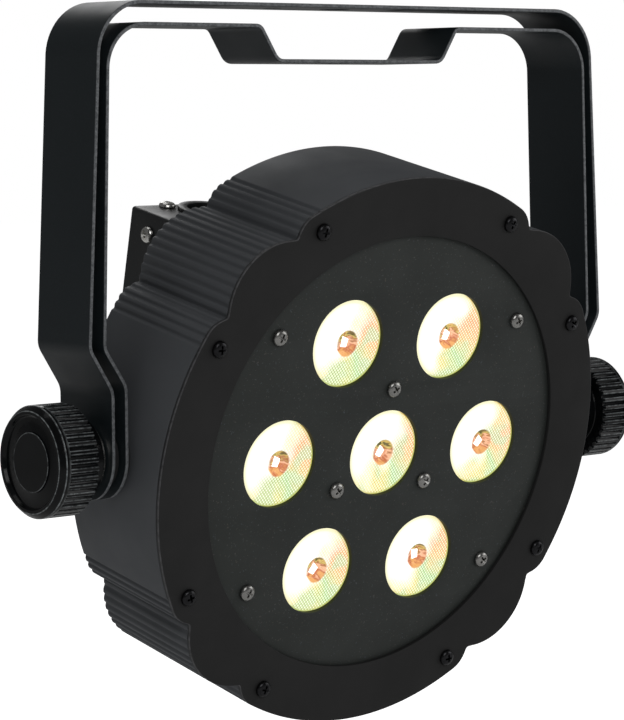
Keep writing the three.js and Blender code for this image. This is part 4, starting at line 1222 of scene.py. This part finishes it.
def display_frame():
    """Smoked pane that fills the window in the back wall."""
    loops = [round_rectangle(0, DISPLAY_Z, *DISPLAY_SIZE, 0.8)]
    return flat("pane", (BOX_BACK - SHEET - 0.5 + BOX_BACK + 0.1) / 2, loops, SHEET + 0.6, 0.15)


def display_rim():
    """Raised rim round the pane."""
    width, high = DISPLAY_SIZE
    loops = [round_rectangle(0, DISPLAY_Z, width, high, 0.8)]
    loops.append(round_rectangle(0, DISPLAY_Z, width - 2.4, high - 2.4, 0.6))
    return flat("rim", BOX_BACK + 0.2, loops, 0.4, 0.1)


def socket_shell(hole):
    """A data socket's flange, open barrel and floor, about Z."""
    top, outer, under = BOX_TOP + 1.4, SOCKET_R + 1.6, BOX_TOP + GAP
    profile = [(hole, CUP_FLOOR), (SOCKET_R, CUP_FLOOR), (SOCKET_R, under), (outer, under)]
    profile += [(outer, top - 0.3), (outer - 0.1, top - 0.1), (outer - 0.3, top), (hole + 0.3, top)]
    profile += [(hole + 0.08, top - 0.08), (hole, top - 0.3)]
    barrel = closed_turned("socket", profile, 72, "Z")
    profile = [(0, SOCKET_BOTTOM), (SOCKET_R, SOCKET_BOTTOM), (SOCKET_R, CUP_FLOOR), (0, CUP_FLOOR)]
    return merged("shell", [barrel, turned("floor", profile, 48, "Z")])


def pin_places():
    return [on_circle(PIN_RING_R, math.radians(degrees)) for degrees in (-50, 90, 230)]


def pin():
    return turned("pin", [(0, 51), (1.2, 51), (1.2, 62), (1.0, 62.7), (0.5, 63), (0, 63)], 24, "Z")


def dmx_out_insert():
    """Insert with three contact holes, a gap round it and a slot for the latch."""
    face, r = BOX_TOP + 1.2, INSERT_R
    profile = [(0, CUP_FLOOR), (r, CUP_FLOOR), (r, face - 0.3), (r - 0.3, face), (0, face)]
    body = turned("insert", profile, 64, "Z", sharp=30)
    hole = [(0, 58), (1.4, 58), (1.4, 80), (0, 80)]
    cutters = [moved(turned("hole", hole, 24, "Z"), x, -y, 0) for x, y in pin_places()]
    cutters.append(block((-3.3, 6.7, 56), (3.3, 9.3, 80), 0))
    return carved(body, cutters)


def latch():
    """Sprung metal tab, ridged where a thumb presses it."""
    parts = [block((-3, 7.7, 58), (3, 9, BOX_TOP + 2.9), 0.25)]
    for i in range(3):
        y = 7.9 + 0.35 * i
        parts.append(block((-2.4, y, BOX_TOP + 2.7), (2.4, y + 0.2, BOX_TOP + 3.2), 0.06))
    return merged("latch", parts)


def inlet():
    """Mains inlet about Z: flange, cup walls with two cut corners, and floor."""
    w, d = INLET_SIZE
    cw, cd, chamfer = 11.8, 8, 4
    cup = [(-cw, -cd), (cw, -cd), (cw, cd - chamfer), (cw - chamfer, cd), (-cw + chamfer, cd)]
    cup.append((-cw, cd - chamfer))
    body, flange = round_rectangle(0, 0, w, d, 1), round_rectangle(0, 0, w + 4, d + 4, 1.6)
    return merged("inlet", [
        moved(plate("flange", [flange, cup], 2.0, 0.25), 0, 0, BOX_BOTTOM - 1.3),
        moved(plate("walls", [body, cup], 14, 0.1), 0, 0, BOX_BOTTOM + 6.8),
        moved(plate("floor", [body], 5.8, 0.1), 0, 0, BOX_BOTTOM + 16.9),
    ])


def blades():
    low, high = BOX_BOTTOM + 3, BOX_BOTTOM + 15
    spots = ((-7, -2), (7, -2), (0, 2.6))
    return merged("blades", [block((x - 1, y - 2, low), (x + 1, y + 2, high), 0.35) for x, y in spots])


def fuse_holder():
    low = BOX_BOTTOM
    profile = [(4.6, low + 24), (FUSE_R, low + 24), (FUSE_R, low - GAP), (FUSE_R + 2, low - GAP)]
    profile += [(FUSE_R + 2, low - 1.6), (FUSE_R + 1.6, low - 2), (4.6, low - 2)]
    return closed_turned("fuse_holder", profile, 64, "Z")


def fuse_cap():
    """Bayonet cap with a screwdriver slot, and its carrier, about Z."""
    low, head, carrier, tip = BOX_BOTTOM - 7.3, BOX_BOTTOM - 2.3, 4.2, BOX_BOTTOM + 16
    profile = [(0, tip), (carrier, tip), (carrier, head), (FUSE_R, head)]
    profile += [(FUSE_R, low + 0.6), (FUSE_R - 0.2, low + 0.2), (FUSE_R - 0.6, low), (0, low)]
    body = turned("fuse_cap", profile, 64, "Z", sharp=35)
    return carved(body, [block((-8, -0.7, low - 2), (8, 0.7, low + 1.5), 0)])


def safety_eye():
    """A ring for a safety wire on a shank with a collar."""
    ring_y, centre_z, major, minor, count = 33, 79, 6.6, 1.6, 64
    tube = [on_circle(minor, 2 * math.pi * j / 20) for j in range(20)]
    rings = []
    for i in range(count):
        cos, sin = on_circle(1, 2 * math.pi * i / count)
        spots = [(side, major + out) for out, side in tube]
        rings.append([(side, ring_y + reach * cos, centre_z + reach * sin) for side, reach in spots])
    loop = make_mesh("loop", *bridge(rings, closed=True))
    base = HOUSING_BACK + GAP
    profile = [(0, base), (4.1, base), (4.5, base + 0.3), (4.5, base + 1.8), (4.1, base + 2.2)]
    profile += [(2.5, base + 2.4), (2, base + 3), (2, ring_y - 5.4), (0, ring_y - 5.4)]
    return merged("eye", [loop, moved(turned("shank", profile, 40, "Y"), 0, 0, centre_z)])


place("back_cover", rear_plate(), HEAD, "head", "box", "box_black", "rear_plate")
place("back_box", rear_box(), HEAD, "head", "box", "box_black", "rear_box")
place("display_pane", display_frame(), HEAD, "head", "window", "display_red", "display_window")
place("display_surround", display_rim(), HEAD, "head", "plastic", "display_red")
place("display_digits", digit_bars((0, 0, 1)), HEAD, "head", "digit", "display_red")
for index in range(4):
    spot = HEAD @ Matrix.Translation((button_x(index), 0, BUTTON_Z))
    node = f"button_{index + 1}"
    place(f"push_{index + 1}", button(), spot, node, "plastic", "plastic_black", node)

socket_in, socket_out, inlet_spot, fuse_spot = (
    HEAD @ Matrix.Translation((x, SOCKET_Y, 0)) for x in (-DMX_X, DMX_X, INLET_X, FUSE_X)
)
place("data_in_shell", socket_shell(9), socket_in, "head", "plastic", "plastic_black", "dmx_in_socket")
pins = merged("pins", [moved(pin(), x, y, 0) for x, y in pin_places()])
place("data_in_pins", pins, socket_in, "head", "brass", "plastic_black")
place("data_out_shell", socket_shell(9.2), socket_out, "head", "plastic", "plastic_black", "dmx_out_socket")
place("data_out_insert", dmx_out_insert(), socket_out, "head", "plastic", "plastic_black")
place("data_out_tab", latch(), socket_out, "dmx_out_latch", "steel", "steel", "dmx_out_latch")
place("mains_cup", inlet(), inlet_spot, "head", "plastic", "plastic_black", "power_inlet")
place("mains_blades", blades(), inlet_spot, "head", "brass", "plastic_black")
place("fuse_collar", fuse_holder(), fuse_spot, "head", "plastic", "plastic_black", "fuse_holder")
place("fuse_knob", fuse_cap(), fuse_spot, "fuse_cap", "plastic", "plastic_black", "fuse_cap")
place("wire_eye", safety_eye(), HEAD, "head", "steel", "steel", "safety_eye")

box_screw = pan_screw(6)
for index, (axis, place_at) in enumerate(BOX_SCREWS):
    lay = Matrix.Rotation(-math.pi / 2, 4, "X" if axis == "Z" else "Z")
    spot = HEAD @ Matrix.Translation(place_at) @ lay @ Matrix.Rotation(dice.uniform(0, math.pi), 4, "Y")
    node = f"box_screw_{index + 1}"
    place(f"box_fixing_{index + 1}", box_screw.copy(), spot, "head", "steel", "steel", node)

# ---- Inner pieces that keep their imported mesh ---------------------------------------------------

for name, look in (
    ("led_board", "aluminium"), ("heat_sink", "aluminium"), ("power_board", "board"),
    ("control_board", "board"), ("insert_left", "brass"), ("insert_right", "brass"),
):
    node = frame["nodes"][name]
    node.data.materials.clear()
    node.data.materials.append(MAT[look])
